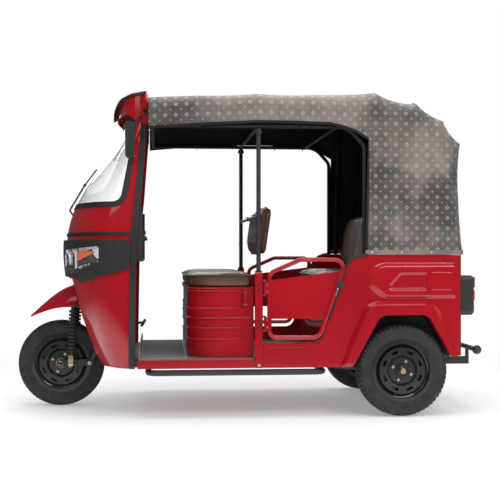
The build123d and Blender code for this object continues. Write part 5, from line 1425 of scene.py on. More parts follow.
@dataclass
class Steering:
    """Fork, links, shock absorbers, fender and handlebar.

    Attributes:
        rake: Lean of the steering axis, in degrees.
        foot: Where the axis leaves the crown, as x and z.
    """

    rake: float = 22.0
    foot: tuple[float, float] = (0.112, 0.560)

    def spot(self, along: float, back: float, y: float) -> Vector:
        """Gives a point from its distance up the axis, back from it and across.

        Args:
            along: Distance up the axis.
            back: Distance back from it.
            y: Place across.

        Returns:
            The point.
        """
        lean = math.radians(self.rake)
        x = self.foot[0] + along * math.sin(lean) + back * math.cos(lean)
        return at(x, y, self.foot[1] + along * math.cos(lean) - back * math.sin(lean))

    def bright_parts(self) -> None:
        """Adds the zinc-plated nuts and shock feet."""
        hexagon = capped((0, 0.0165), (0.010, 0.0165), (0.013, 0.013))
        parts = [turned("nut", hexagon, at(0, -0.0785, AXLE_Z), TO_LEFT, 6, HEX_CREASE),
                 turned("pivot", [(a, r * 0.8) for a, r in hexagon], at(0.164, -0.109, 0.25), TO_LEFT, 6,
                        HEX_CREASE),
                 block("foot", at(0.062, -0.142, 0.268), (0.030, 0.036, 0.060), 0.004),
                 turned("eye", capped((0, 0.013), (0.004, 0.013), (0.006, 0.010)),
                        at(0.062, -0.1592, 0.25), TO_LEFT, 24)]
        paired("fork_bright_parts", parts, ZINC, "fork")

    def levers(self) -> None:
        """Adds the brake and clutch levers with their mounts."""
        corners = [self.spot(0.530, 0.060, -0.15), self.spot(0.530, 0.045, -0.19),
                   self.spot(0.535, 0.085, -0.26), self.spot(0.538, 0.13, -0.30)]
        lever = bar("lever", rounded(corners, 0.03), 0.0045, 12, flat=0.6)
        mount = block("mount", self.spot(0.524, 0.068, -0.152), (0.034, 0.026, 0.030), 0.005)
        paired("levers", [lever, mount], BLACK_PAINT, "fork")

    def dial(self) -> None:
        """Adds the instrument's bezel, face and needle."""
        axis = (self.spot(1, 0, 0) - self.spot(0, 0, 0)).normalized()
        base = self.spot(0.5885, 0.0, 0)
        rim = [(0, 0.036), (0, 0.044), (0.005, 0.044), (0.006, 0.041), (0.004, 0.036)]
        bezel = turned("dial_bezel", rim, base, axis, 48)
        dress(bezel, STEEL, "fork")
        face = turned("dial_face", capped((0, 0.037), (0.0015, 0.037)), base, axis, 48)
        dress(face, LINING, "fork")
        ticks = []
        one, two = square_to(axis)
        for k in range(13):
            turn = math.radians(-120 + 20 * k)
            way = one * math.cos(turn) + two * math.sin(turn)
            ends = [base + axis * 0.002 + way * reach for reach in (0.027, 0.033)]
            ticks.append(bar("tick", ends, 0.0007, 6))
        ticks.append(bar("needle", [base + axis * 0.003, base + axis * 0.003 + one * 0.024], 0.0009, 6))
        joined("dial_marks", ticks, WHITE_PLATE, "black_plastic", "fork")

    def build(self) -> None:
        """Dresses the steering."""
        coat_nodes(BLACK_PAINT, "fork", "front_links")
        coat_nodes(RUBBER, "front_shocks")
        coat_nodes(MOULDING, "handlebar")
        coat_nodes(RED_PAINT, "front_fender")
        self.bright_parts()
        self.levers()
        self.dial()


PRESSURE = 4.0
SWELL_FRAMES = 20
CHANNEL_DEPTH = 0.010
CHANNEL_REACH = 0.03


@dataclass
class Padding:
    """A cushion: a crowned closed form with a piped seam, swollen by simulation.

    Attributes:
        name: Name of the piece.
        node: CAD node that it stands for.
        body: Body that it moves with.
        frame: Where its own axes lie: width, depth and thickness.
        outline: Its outline in width and depth.
        thick: Its thickness.
        seam: Height of the piped seam as a share of the thickness.
        channels: Widths at which a sewn line runs from front to back.
        fill: How full it is; not used.
        swelling: How far a point may move as it swells.
        voxel: Size of the mesh's faces.
    """

    name: str
    node: str
    body: str
    frame: Matrix
    outline: list[tuple[float, float]]
    thick: float
    seam: float = 0.62
    channels: tuple[float, ...] = ()
    fill: float = 0.7
    swelling: float = 0.014
    voxel: float = 0.009

    def ring(self, inset: float, height: float) -> list[Vector]:
        """Gives the outline moved in by an inset, at a height, in the cushion's own axes.

        Args:
            inset: How far the outline moves in.
            height: Height of the ring.

        Returns:
            The ring.
        """
        count = len(self.outline)
        ring = []
        for i, (u, v) in enumerate(self.outline):
            before, after = self.outline[i - 1], self.outline[(i + 1) % count]
            along = Vector((after[0] - before[0], after[1] - before[1]))
            along.normalize()
            ring.append(Vector((u - along.y * inset, v + along.x * inset, height)))
        return ring

    def shell(self) -> bpy.types.Object:
        """Builds the starting form.

        Returns:
            The starting form.
        """
        seam = self.thick * self.seam
        cap = self.thick - seam
        stack = [(0.016, 0.0), (0.006, 0.004), (0.003, seam * 0.45), (0.0, seam), (0.005, seam + cap * 0.5),
                 (0.016, seam + cap * 0.85), (0.034, seam + cap * 0.98)]
        points = [p for inset, height in stack for p in self.ring(inset, height)]
        count = len(self.outline)
        faces = grid_faces(len(stack), count, round_columns=True)
        faces.append(tuple(reversed(range(count))))
        faces.append(tuple((len(stack) - 1) * count + k for k in range(count)))
        return add_mesh(self.name, points, faces, 80.0)

    def held(self, point: Vector) -> bool:
        """Tells whether the swelling leaves a point where it is.

        Args:
            point: The point, in the cushion's own axes.

        Returns:
            Whether it is held.
        """
        if point.z < self.voxel * 0.7:
            return True
        on_channel = any(abs(point.x - c) < self.voxel * 0.6 for c in self.channels)
        if on_channel and point.z > self.thick * 0.7:
            return True
        if abs(point.z - self.thick * self.seam) > self.voxel * 0.6:
            return False
        ring = self.ring(0.0, point.z)
        return min((p - point).length for p in ring) < self.voxel * 2.2

    def swell(self, piece: bpy.types.Object) -> None:
        """Swells the form by a pressure simulation, and keeps its result.

        Args:
            piece: The starting form, which is changed.
        """
        remesh = piece.modifiers.new("even_faces", "REMESH")
        remesh.mode = "VOXEL"
        remesh.voxel_size = self.voxel
        self.keep_result(piece)
        for vertex in piece.data.vertices:
            line = min((abs(vertex.co.x - c) for c in self.channels), default=1.0)
            if line < CHANNEL_REACH and vertex.co.z > self.thick * 0.6:
                vertex.co.z -= CHANNEL_DEPTH * (1 - line / CHANNEL_REACH) ** 2
        start = [v.co.copy() for v in piece.data.vertices]
        hold = piece.vertex_groups.new(name="hold")
        hold.add([i for i, p in enumerate(start) if self.held(p)], 1.0, "REPLACE")
        cloth = piece.modifiers.new("swell", "CLOTH")
        cloth.settings.use_pressure = True
        cloth.settings.uniform_pressure_force = PRESSURE
        cloth.settings.effector_weights.gravity = 0.0
        cloth.settings.vertex_group_mass = "hold"
        cloth.settings.quality = 4
        cloth.point_cache.frame_end = SWELL_FRAMES
        for step in range(1, SWELL_FRAMES + 1):
            bpy.context.scene.frame_set(step)
        self.keep_result(piece)
        bpy.context.scene.frame_set(1)
        for vertex, origin in zip(piece.data.vertices, start):
            move = vertex.co - origin
            if move.length > self.swelling:
                vertex.co = origin + move.normalized() * self.swelling
        smooth = piece.modifiers.new("smooth", "SMOOTH")
        smooth.factor, smooth.iterations = 0.5, 2
        self.keep_result(piece)

    @staticmethod
    def keep_result(piece: bpy.types.Object) -> None:
        """Applies the modifiers of a piece to its mesh.

        Args:
            piece: The piece.
        """
        graph = bpy.context.evaluated_depsgraph_get()
        graph.update()
        mesh = bpy.data.meshes.new_from_object(piece.evaluated_get(graph))
        old = piece.data
        piece.modifiers.clear()
        piece.vertex_groups.clear()
        piece.data = mesh
        bpy.data.meshes.remove(old)

    def piping(self) -> bpy.types.Object:
        """Builds the piping along the seam.

        Returns:
            The piping.
        """
        ring = self.ring(-0.001, self.thick * self.seam)
        return bar(self.name + "_piping", [self.frame @ p for p in ring], 0.0042, 8, loop=True)

    def build(self) -> None:
        """Builds the cushion and dresses it."""
        piece = self.shell()
        self.swell(piece)
        settle_mesh(piece.data, 180.0)
        piece.data.transform(self.frame)
        piece.data.materials.clear()
        dress(piece, HIDE, self.body, (self.node,))
        dress(self.piping(), PIPING, self.body)


def rounded_outline(half_width: float, near: float, far: float, near_radius: float,
                    far_radius: float) -> list[tuple[float, float]]:
    """Gives a cushion's outline: a rectangle with rounded corners, in even steps.

    Args:
        half_width: Half of its width.
        near: Depth of its front edge.
        far: Depth of its rear edge.
        near_radius: Radius of the front corners.
        far_radius: Radius of the rear corners.

    Returns:
        The outline, anticlockwise.
    """
    corners = ((half_width, near, near_radius, -90), (half_width, far, far_radius, 0),
               (-half_width, far, far_radius, 90), (-half_width, near, near_radius, 180))
    outline = []
    for x, y, radius, start in corners:
        middle = (x - math.copysign(radius, x), y + (radius if y == near else -radius))
        steps = max(4, int(radius / 0.012))
        for k in range(steps + 1):
            turn = math.radians(start + 90 * k / steps)
            outline.append((middle[0] + radius * math.cos(turn), middle[1] + radius * math.sin(turn)))
    return outline


@dataclass
class Seats:
    """The driver's and the passengers' seats."""

    @staticmethod
    def axes(origin: Vector, width: Vector, depth: Vector) -> Matrix:
        """Gives the frame of a cushion from its origin, width and depth directions.

        Args:
            origin: Where its own origin lies.
            width: Direction of its width.
            depth: Direction of its depth.

        Returns:
            The frame.
        """
        up = width.cross(depth).normalized()
        turn = Matrix((width.normalized(), depth.normalized(), up)).transposed()
        return Matrix.Translation(origin) @ turn.to_4x4()

    def cushions(self) -> list[Padding]:
        """Gives every cushion.

        Returns:
            The cushions.
        """
        ahead = -TO_BACK
        lean = math.radians(8)
        face = Vector((math.cos(lean), 0, -math.sin(lean)))
        rise = Vector((math.sin(lean), 0, math.cos(lean)))
        back_lean = math.radians(9)
        bench_rise = Vector((math.sin(back_lean), 0, math.cos(back_lean)))
        back_origin = at(1.138, 0, 1.0) + face * 0.029
        return [
            Padding("driver_cushion_pad", "driver_cushion", "driver_seat",
                    self.axes(at(1.050, 0, 0.6945), TO_RIGHT, ahead),
                    rounded_outline(0.574, 0.0, 0.349, 0.03, 0.19), 0.072, seam=0.80, swelling=0.006),
            Padding("driver_back_pad", "driver_backrest", VEHICLE, self.axes(back_origin, TO_LEFT, rise),
                    rounded_outline(0.316, -0.131, 0.131, 0.05, 0.05), 0.056, seam=0.5, voxel=0.007),
            Padding("bench_cushion_pad", "rear_cushion", VEHICLE,
                    self.axes(at(1.750, 0, 0.6905), TO_RIGHT, ahead),
                    rounded_outline(0.566, 0.0, 0.300, 0.03, 0.06), 0.076, channels=(-0.19, 0.19),
                    seam=0.74, swelling=0.009),
            Padding("bench_back_pad", "rear_backrest", VEHICLE,
                    self.axes(at(1.812, 0, 0.776), TO_LEFT, bench_rise),
                    rounded_outline(0.566, 0.004, 0.306, 0.03, 0.09), 0.104, seam=0.72,
                    channels=(-0.38, -0.19, 0.0, 0.19, 0.38)),
        ]

    def base_fittings(self) -> None:
        """Adds the toggle latch of the driver's seat box and its rivets."""
        y = -0.5815
        wire = [at(1.004, y, 0.672), at(1.004, y - 0.004, 0.690), at(1.018, y - 0.004, 0.690),
                at(1.018, y, 0.672)]
        hook = bar("hook", rounded(wire, 0.004, 4), 0.0022, 8)
        corners = [at(1.003, y - 0.004, 0.668), at(1.019, y - 0.004, 0.668), at(1.017, y - 0.011, 0.606),
                   at(1.005, y - 0.011, 0.606)]
        lever = slab("lever", corners, TO_RIGHT * 0.004, 0.001)
        joined("seat_latch", [hook, lever], RED_PAINT, "paint")
        rivets = [bolt("rivet", at(x, y + 0.001, z), TO_LEFT, 0.003, 0.002)
                  for x in (1.0035, 1.0185) for z in (0.602, 0.664)]
        joined("latch_rivets", rivets, STEEL, "steel")

    @staticmethod
    def base_line(z: float, rear: float) -> list[Vector]:
        """Gives a level line round the driver's seat box, from its left side to its right.

        Args:
            z: Height of the line.
            rear: Its rear end, behind the front axle.

        Returns:
            The line.
        """
        corners = [at(rear, -SEAT_SIDE_Y, z), at(0.705, -SEAT_SIDE_Y, z), at(0.705, SEAT_SIDE_Y, z),
                   at(rear, SEAT_SIDE_Y, z)]
        return rounded(corners, 0.190, 18)

    def base_beads(self) -> None:
        """Adds the pressed pockets and the ledge round the driver's seat box."""
        beads = []
        for low, high in ((0.583, 0.674), (0.419, 0.477)):
            top, under = self.base_line(high, 0.980), self.base_line(low, 0.980)
            left = [at(0.992, -SEAT_SIDE_Y, low + 0.012), at(0.992, -SEAT_SIDE_Y, high - 0.012)]
            right = [at(0.992, SEAT_SIDE_Y, high - 0.012), at(0.992, SEAT_SIDE_Y, low + 0.012)]
            beads.append(bar("pocket", [*left, *top, *right, *reversed(under)], 0.0026, 8, loop=True))
        beads.append(bar("ledge", self.base_line(0.530, 1.040), 0.0034, 8))
        beads.append(bar("lip", self.base_line(0.688, 1.040), 0.0030, 8))
        joined("seat_base_beads", beads, RED_PAINT, "paint")

    def build(self) -> None:
        """Builds the seats."""
        coat_nodes(RED_PAINT, "seat_base", "rear_seat_plinth")
        for cushion in self.cushions():
            cushion.build()
        self.base_beads()
        self.base_fittings()


@dataclass
class Cab:
    """Floor, dash, pedal and partition."""

    def mat(self) -> None:
        """Adds the mat's ribs."""
        top, pitch = 0.3188, 0.044
        ribs = []
        for count, first, near, far in ((27, -0.572, 0.462, 0.700), (25, -0.528, 1.115, 1.435)):
            for k in range(count):
                y = first + pitch * k
                ribs.append(bar("rib", [at(near, y, top), at(far, y, top)], 0.0035, 8, flat=0.8))
        joined("mat_ribs", ribs, MAT_RUBBER, "rubber")

    def pedal(self) -> None:
        """Adds the brake pedal's rubber tread."""
        turn = Matrix.Translation(at(0.468, -0.150, 0.480)) @ Matrix.Rotation(math.radians(30), 4, "Y")
        ridges = []
        for k in range(5):
            ridge = block("ridge", Vector((0.0072, -0.028 + 0.014 * k, 0)), (0.003, 0.006, 0.038), 0.001, 1)
            ridge.data.transform(turn)
            ridges.append(ridge)
        joined("pedal_tread", ridges, RUBBER, "rubber")

    def partition(self) -> None:
        """Adds the posts' bolts, the poles' collars and the sill's screws."""
        dark = [bolt("bolt", at(POST_X, -0.626, z), TO_LEFT, 0.0068, 0.005)
                for z in (0.710, 0.676, 0.517, 0.480)]
        paired("post_bolts", dark, BLACK_PAINT)
        bright = [bolt("screw", at(POST_X, -0.626, 0.283), TO_LEFT, 0.0062, 0.004)]
        paired("sill_screws", bright, STEEL)
        ring = [(0, 0.012), (0, 0.020), (0.012, 0.020), (0.016, 0.016), (0.020, 0.016), (0.020, 0.012)]
        collar = [turned("collar", ring, at(POST_X, -0.592, 1.511), UP, 28),
                  turned("joint", [(0, 0.012), (0.001, 0.0135), (0.009, 0.0135), (0.010, 0.012)],
                         at(POST_X, -0.592, 0.93), UP, 28)]
        paired("pole_collars", collar, BLACK_PAINT)
        nuts = [bolt("nut", at(POST_X, -0.2 + s * 0.012, 1.081), UP, 0.006, 0.005) for s in (-1, 1)]
        paired("backrest_nuts", nuts, STEEL)

    def dash(self) -> None:
        """Adds switches and a lock to the dash."""
        shape = capped((0, 0.011), (0.010, 0.009), (0.016, 0.009), (0.018, 0.007))
        knobs = [turned("knob", shape, at(0.470, y, 0.9575), TO_BACK, 24) for y in (-0.48, -0.43, 0.30)]
        joined("dash_knobs", knobs, MOULDING, "black_plastic")
        lock = turned("dash_lock", capped((0, 0.013), (0.004, 0.013), (0.006, 0.011)),
                      at(0.470, 0.38, 0.9575), TO_BACK, 28)
        dress(lock, STEEL)

    def build(self) -> None:
        """Dresses the cab."""
        coat_nodes(RED_PAINT, "floor_pan", "partition_posts")
        coat_nodes(MAT_RUBBER, "floor_mat")
        coat_nodes(MOULDING, "dash")
        coat_nodes(BLACK_PAINT, "partition_poles", "brake_pedal")
        self.mat()
        self.pedal()
        self.partition()
        self.dash()


@dataclass
class Tub:
    """Rear body: sides, doors, lamps, lid and bumper."""

    @staticmethod
    def relief(x: float, z: float) -> float:
        """Gives how far the tub's side stands out of its plane at a point.

        Args:
            x: Distance behind the front axle.
            z: Height over the ground.

        Returns:
            The distance.
        """
        front = 1.640 + 9.0 * (z - 0.735) ** 2
        belt = smooth_step((0.830 - z) / 0.034) * smooth_step((z - 0.626) / 0.026)
        belt *= smooth_step((x - front) / 0.075) * smooth_step((2.152 - x) / 0.022)
        start = 1.768 + 0.9 * max(0.0, z - 0.70)
        scoop = smooth_step((x - start) / 0.030) * smooth_step((1.986 - x) / 0.012)
        scoop *= smooth_step((z - 0.672) / 0.018) * smooth_step((0.772 - z) / 0.014)
        flap = smooth_step((x - 2.003) / 0.005) * smooth_step((2.121 - x) / 0.005)
        flap *= smooth_step((z - 0.676) / 0.005) * smooth_step((0.774 - z) / 0.005)
        return 0.0115 * belt - 0.0085 * scoop + 0.0022 * flap - 0.0012

    def pressings(self) -> None:
        """Adds the pressed belt along each side, with its scoop and the fuel flap."""
        fronts, backs = [], []
        columns, rows = 150, 60
        corner_radius, corner_x = 0.070, 2.119
        heights = [0.622 + 0.212 * j / rows for j in range(rows + 1)]
        for i in range(columns + 1):
            x = 1.600 + 0.555 * i / columns
            bend = max(0.0, x - corner_x)
            y = -SIDE_Y + corner_radius - math.sqrt(corner_radius ** 2 - bend ** 2)
            fronts.append([at(x, y - self.relief(x, z), z) for z in heights])
            backs.append([at(x, y + 0.0035, z) for z in heights])
        panel = shell_of("pressing", fronts, backs, 60.0)
        paired("side_pressings", [panel], RED_PAINT)

    def edge_trim(self) -> None:
        """Adds the rubber trim over each doorway's edge."""
        corners = [at(1.4526, -0.619, 0.520), at(1.568, -0.619, 0.864), at(1.664, -0.619, 0.864)]
        trim = bar("trim", rounded_arc(corners, 0.108, 16), 0.0085, 12)
        paired("doorway_trims", [trim], RUBBER)

    def doors(self, side: float, label: str) -> None:
        """Adds one door's bolts, latch and link.

        Args:
            side: Which side of the vehicle it is on.
            label: Name of that side.
        """
        out = Vector((0, side, 0))
        body = "door_" + label
        bolts = [bolt("bolt", at(1.127, side * 0.636, z), out, 0.0055, 0.004)
                 for z in (0.708, 0.672, 0.520, 0.484)]
        joined(body + "_bolts", bolts, STEEL, "steel", body)
        y = side * 0.653
        corners = [at(1.500, side * 0.650, 0.692), at(1.496, y, 0.682), at(1.484, y, 0.648)]
        link = bar(body + "_link", rounded(corners, 0.01, 5), 0.0042, 10)
        dress(link, STEEL, body)
        knob = turned(body + "_knob", capped((0, 0.010), (0.003, 0.010), (0.005, 0.007)),
                      at(1.509, side * 0.6555, 0.708), out, 24)
        dress(knob, MOULDING, body)

    def lamps(self) -> None:
        """Adds the tail lamps' lenses."""
        rows = ((0.716, 0.058, RED_PLATE, "tail_lenses"), (0.645, 0.058, AMBER_PLATE, "turn_lenses"),
                (0.576, 0.052, WHITE_PLATE, "reverse_lenses"))
        for z, height, finish, name in rows:
            lens = block("lens", at(2.2652, -0.517, z), (0.010, 0.062, height), 0.004, 3)
            paired(name, [lens], finish)

    def lid(self) -> None:
        """Adds the engine lid's handle, hinges and louvre lips."""
        corners = [at(x, y, 0.405) for x, y in ((2.188, -0.05), (2.212, -0.05), (2.212, 0.05), (2.188, 0.05))]
        grip = bar("grip", rounded(corners, 0.012, 5), 0.005, 10)
        dress(grip, BLACK_PAINT, "engine_lid")
        grip.name = "lid_handle"
        lips = [block("lip", at(2.1915, 0, 0.4475 + 0.026 * k), (0.007, 0.456, 0.004), 0.0015, 1)
                for k in range(5)]
        joined("louvre_lips", lips, RED_PAINT, "paint", "engine_lid")
        hinges, leaves = [], []
        for y in (-0.26, 0.26):
            hinges.append(turned("hinge", capped((0, 0.0048), (0.06, 0.0048)), at(2.189, y - 0.03, 0.605),
                                 TO_RIGHT, 16))
            hinges.append(block("leaf", at(2.1900, y, 0.590), (0.003, 0.056, 0.022), 0.0008, 1))
            leaves.append(block("leaf", at(2.1902, y, 0.6225), (0.003, 0.056, 0.019), 0.0008, 1))
            leaves += [bolt("screw", at(2.1915, y + shift, 0.6235), TO_BACK, 0.0036, 0.002)
                       for shift in (-0.016, 0.016)]
        joined("lid_hinges", hinges, DARK_STEEL, "steel", "engine_lid")
        joined("lid_hinge_leaves", leaves, DARK_STEEL, "steel")

    def build(self) -> None:
        """Dresses the rear body."""
        coat_nodes(RED_PAINT, "tub_side_left", "tub_side_right", "rear_panel", "engine_lid", "door_left",
                   "door_right")
        coat_nodes(RUBBER, "wheel_housings")
        coat_nodes(MOULDING, "tail_lamps", "door_catch_left", "door_catch_right")
        coat_nodes(BLACK_PAINT, "rear_bumper")
        coat_nodes(DARK_STEEL, "hinge_pins")
        self.edge_trim()
        self.doors(LEFT, "left")
        self.doors(RIGHT, "right")
        self.lamps()
        self.lid()
        self.pressings()


@dataclass
class Underside:
    """Frame, rear suspension and engine."""

    def springs(self) -> None:
        """Adds the rear springs round their dampers."""
        coil = []
        turns, steps = 6, 24
        for k in range(turns * steps + 1):
            turn = math.tau * k / steps
            z = 0.300 + 0.120 * k / (turns * steps)
            coil.append(at(1.7 + 0.0235 * math.cos(turn), -0.4 + 0.0235 * math.sin(turn), z))
        spring = bar("spring", coil, 0.0045, 8)
        damper = capped((0, 0.015), (0.018, 0.015), (0.018, 0.029), (0.022, 0.029), (0.022, 0.015),
                        (0.09, 0.015), (0.09, 0.009), (0.138, 0.009), (0.138, 0.028), (0.143, 0.028),
                        (0.143, 0.012), (0.1595, 0.012))
        body = turned("body", damper, at(1.7, -0.4, 0.2803), UP, 28)
        paired("rear_springs", [spring, body], BLACK_PAINT, replaces=("rear_dampers",))

    def engine(self) -> None:
        """Builds the engine and gearbox: case, finned barrel, cover and silencer."""
        case = block("case", at(1.80, 0, 0.300), (0.26, 0.30, 0.19), 0.03, 4)
        parts = [case]
        for k in range(9):
            parts.append(block("fin", at(1.800, -0.01, 0.402 + 0.008 * k), (0.17, 0.20, 0.003), 0.001, 1))
        parts.append(block("head", at(1.800, -0.01, 0.4735), (0.15, 0.18, 0.012), 0.004, 2))
        parts.append(block("barrel", at(1.800, -0.01, 0.43), (0.12, 0.14, 0.08), 0.02, 3))
        cover = capped((0, 0.088), (0.022, 0.088), (0.034, 0.076), (0.038, 0.05))
        gear = capped((0, 0.075), (0.025, 0.075), (0.038, 0.055))
        parts.append(turned("cover", cover, at(1.80, -0.150, 0.300), TO_LEFT, 40))
        parts.append(turned("gear", gear, at(1.86, 0.150, 0.285), TO_RIGHT, 40))
        parts += [block("mount", at(x, side * 0.165, 0.277), (0.05, 0.049, 0.045), 0.006)
                  for x in (1.76, 1.96) for side in (LEFT, RIGHT)]
        parts.append(block("bridge", at(1.93, 0, 0.277), (0.10, 0.32, 0.05), 0.01))
        joined("engine_unit", parts, CASTING, "iron", replaces=("engine",))
        silencer = turned("silencer", capped((0, 0.030), (0.01, 0.040), (0.27, 0.040), (0.28, 0.030)),
                          at(2.005, -0.14, 0.255), TO_RIGHT, 36)
        corners = [at(1.88, 0.02, 0.36), at(1.99, 0.02, 0.36), at(2.005, 0.02, 0.29)]
        pipe = bar("pipe", rounded(corners, 0.04), 0.014, 14)
        joined("exhaust", [silencer, pipe], BLACK_PAINT, "black_paint")

    def build(self) -> None:
        """Dresses the underside."""
        coat_nodes(BLACK_PAINT, "chassis_frame", "foot_tubes", "rear_arms")
        self.springs()
        self.engine()


@dataclass
class Canopy:
    """The cloth canopy on its frame.

    Attributes:
        run: Where the top line starts and how far it runs along X.
        rise: How far it rises over the tub.
        top: Shares of run and rise along the top line.
        sags: Sag of each stretch of the top line.
        edge: Shares along the valance's lower edge and down the doorway.
        corner: Radius of its shoulders.
        crown: How far the middle stands over the shoulders.
        bow: Number of the first bow in the top line.
        hem: Where the hem over the tub starts, as x and z.
        tub_end: X behind the canopy's rear end.
        thickness: Thickness of the cloth with its lining.
        roof_from: Number of the column where a section's roof starts.
    """

    run: tuple[float, float] = (0.5, 1.702)
    rise: float = 0.896
    top: tuple = ((0.0, 0.958), (0.163, 0.97), (0.34, 0.984), (0.53, 0.983), (0.715, 1.0), (0.85, 0.935),
                  (0.935, 0.826), (0.991, 0.676), (0.986, 0.34), (1.0, 0.002))
    sags: tuple = (0.0, 0.004, 0.006, 0.005, 0.017, 0.012, 0.012, 0.008, 0.004)
    edge: tuple = ((0.0, 0.741), (0.1, 0.757), (0.202, 0.769), (0.336, 0.783), (0.45, 0.782), (0.565, 0.775),
                   (0.612, 0.755), (0.648, 0.729), (0.686, 0.686))
    corner: float = 0.085
    crown: float = 0.02
    bow: int = 4
    hem: tuple[float, float] = (1.652, TUB_TOP_Z + 0.002)
    tub_end: float = 2.2
    thickness: float = 0.003
    roof_from: int = 30

    def lay(self, share: tuple[float, float]) -> tuple[float, float]:
        """Turns shares into x and z."""
        return self.run[0] + self.run[1] * share[0], TUB_TOP_Z + self.rise * share[1]

    def top_line(self) -> list[tuple[float, float, float]]:
        """Gives the top line as x, z and distance along it.

        Returns:
            Its points.
        """
        points, walked = [], 0.0
        corners = [self.lay(s) for s in self.top]
        for (x0, z0), (x1, z1), sag in zip(corners, corners[1:], self.sags):
            length = math.hypot(x1 - x0, z1 - z0)
            steps = max(6, round(length / 0.014))
            for k in range(steps):
                t = k / steps
                dip = sag * 4 * t * (1 - t)
                points.append((x0 + (x1 - x0) * t + dip * (z1 - z0) / length,
                               z0 + (z1 - z0) * t - dip * (x1 - x0) / length, walked + length * t))
            walked += length
        return [*points, (*corners[-1], walked)]

    def edge_at(self, x: float) -> float:
        """Gives the valance's lower edge at x, as a smooth line.

        Args:
            x: Distance behind the front axle.

        Returns:
            The height.
        """
        line = [self.lay(s) for s in self.edge]
        for i, ((x0, z0), (x1, z1)) in enumerate(zip(line, line[1:])):
            if x <= x1 or i == len(line) - 2:
                t = min(1.0, max(0.0, (x - x0) / (x1 - x0)))
                return z0 + (z1 - z0) * t
        return line[-1][1]

    def stations(self) -> list[tuple]:
        """Pairs each point of the top line with one of the lower edge.

        Returns:
            The pairs.
        """
        line = self.top_line()
        first_bow = self.lay(self.top[self.bow])
        straight = self.lay(self.top[self.bow - 1])[0]
        corner = self.lay(self.edge[-1])
        bow_walk = min(line, key=lambda p: math.hypot(p[0] - first_bow[0], p[1] - first_bow[1]))[2]
        pairs = []
        for x, z, walked in line:
            past = walked - bow_walk
            along = x if past < 0 else first_bow[0] + past
            if past <= 0:
                stretch = (corner[0] - straight) / (first_bow[0] - straight)
                low_x = x if x <= straight else straight + (x - straight) * stretch
                low = (low_x, self.edge_at(low_x))
            else:
                t = past / (line[-1][2] - bow_walk)
                low = (corner[0] + (self.hem[0] - corner[0]) * t, corner[1] + (self.hem[1] - corner[1]) * t)
            pairs.append(((x, z, along), low))
        return pairs

    def bow_dip(self, x: float, z: float) -> float:
        """Gives how far the side sinks between the bows' legs at a point.

        Args:
            x: Distance behind the front axle.
            z: Height over the ground.

        Returns:
            The depth.
        """
        height = (z - TUB_TOP_Z) / self.rise
        front_leg, pitch = 1.655, 0.045
        if x < front_leg or height <= 0:
            return 0.0
        tops = [self.lay(s) for s in self.top[self.bow:self.bow + 4]]
        legs = [front_leg]
        for i, (top_x, top_z) in enumerate(tops):
            foot = 1.695 + pitch * i
            legs.append(foot + (top_x - foot) * min(1.0, (z - TUB_TOP_Z) / (top_z - TUB_TOP_Z)))
        legs.append(self.tub_end)
        for before, after in zip(legs, legs[1:]):
            if before <= x <= after and after > before:
                t = (x - before) / (after - before)
                width = min(1.0, (after - before) / 0.22)
                return 0.022 * width * (4 * t * (1 - t)) ** 0.8 * min(1.0, height * 2.2)
        return 0.0

    @staticmethod
    def ripple(x: float, z: float) -> float:
        """Gives small uneven folds of the side.

        Args:
            x: Distance behind the front axle.
            z: Height over the ground.

        Returns:
            How far the cloth moves in.
        """
        folds = 0.0022 * math.sin(7.0 * x + 3.0 * math.sin(4.1 * z)) + 0.0016 * math.sin(21.0 * x - 9.0 * z)
        return folds + 0.0012 * math.sin(34.0 * z + 6.0 * math.sin(5.0 * x))

    def slope(self, top: Station, low: tuple[float, float]) -> tuple[float, Vector, float, float]:
        """Gives the slope of a section's side.

        Args:
            top: The section's point on the top line.
            low: Its point on the lower edge.

        Returns:
            Its upper z at the side, its direction down, its length and its shoulder's radius.
        """
        crown = self.crown * max(0.0, min(1.0, (top[1] - 1.45) / 0.25))
        down = Vector((low[0] - top[0], low[1] - top[1] + crown))
        return top[1] - crown, down.normalized(), down.length, min(self.corner, down.length * 0.45)

    def side_point(self, top: Station, low: tuple[float, float], above: float) -> tuple:
        """Gives a point of the left side from its distance above the lower edge.

        Args:
            top: The section's point on the top line.
            low: Its point on the lower edge.
            above: Distance up the side.

        Returns:
            The point as x, y and z.
        """
        z, down, length, radius = self.slope(top, low)
        reach = length - above
        px, pz = top[0] + down.x * reach, z + down.y * reach
        t = max(0.0, above / (length - radius))
        wave = 0.004 * math.sin(px * 11.0) * (1 - t) ** 2 * max(0.0, min(1.0, (1.62 - px) / 0.1))
        return px, -SIDE_Y + 0.001 + self.bow_dip(px, pz) + self.ripple(px, pz) * min(1.0, t * 6) + wave, pz

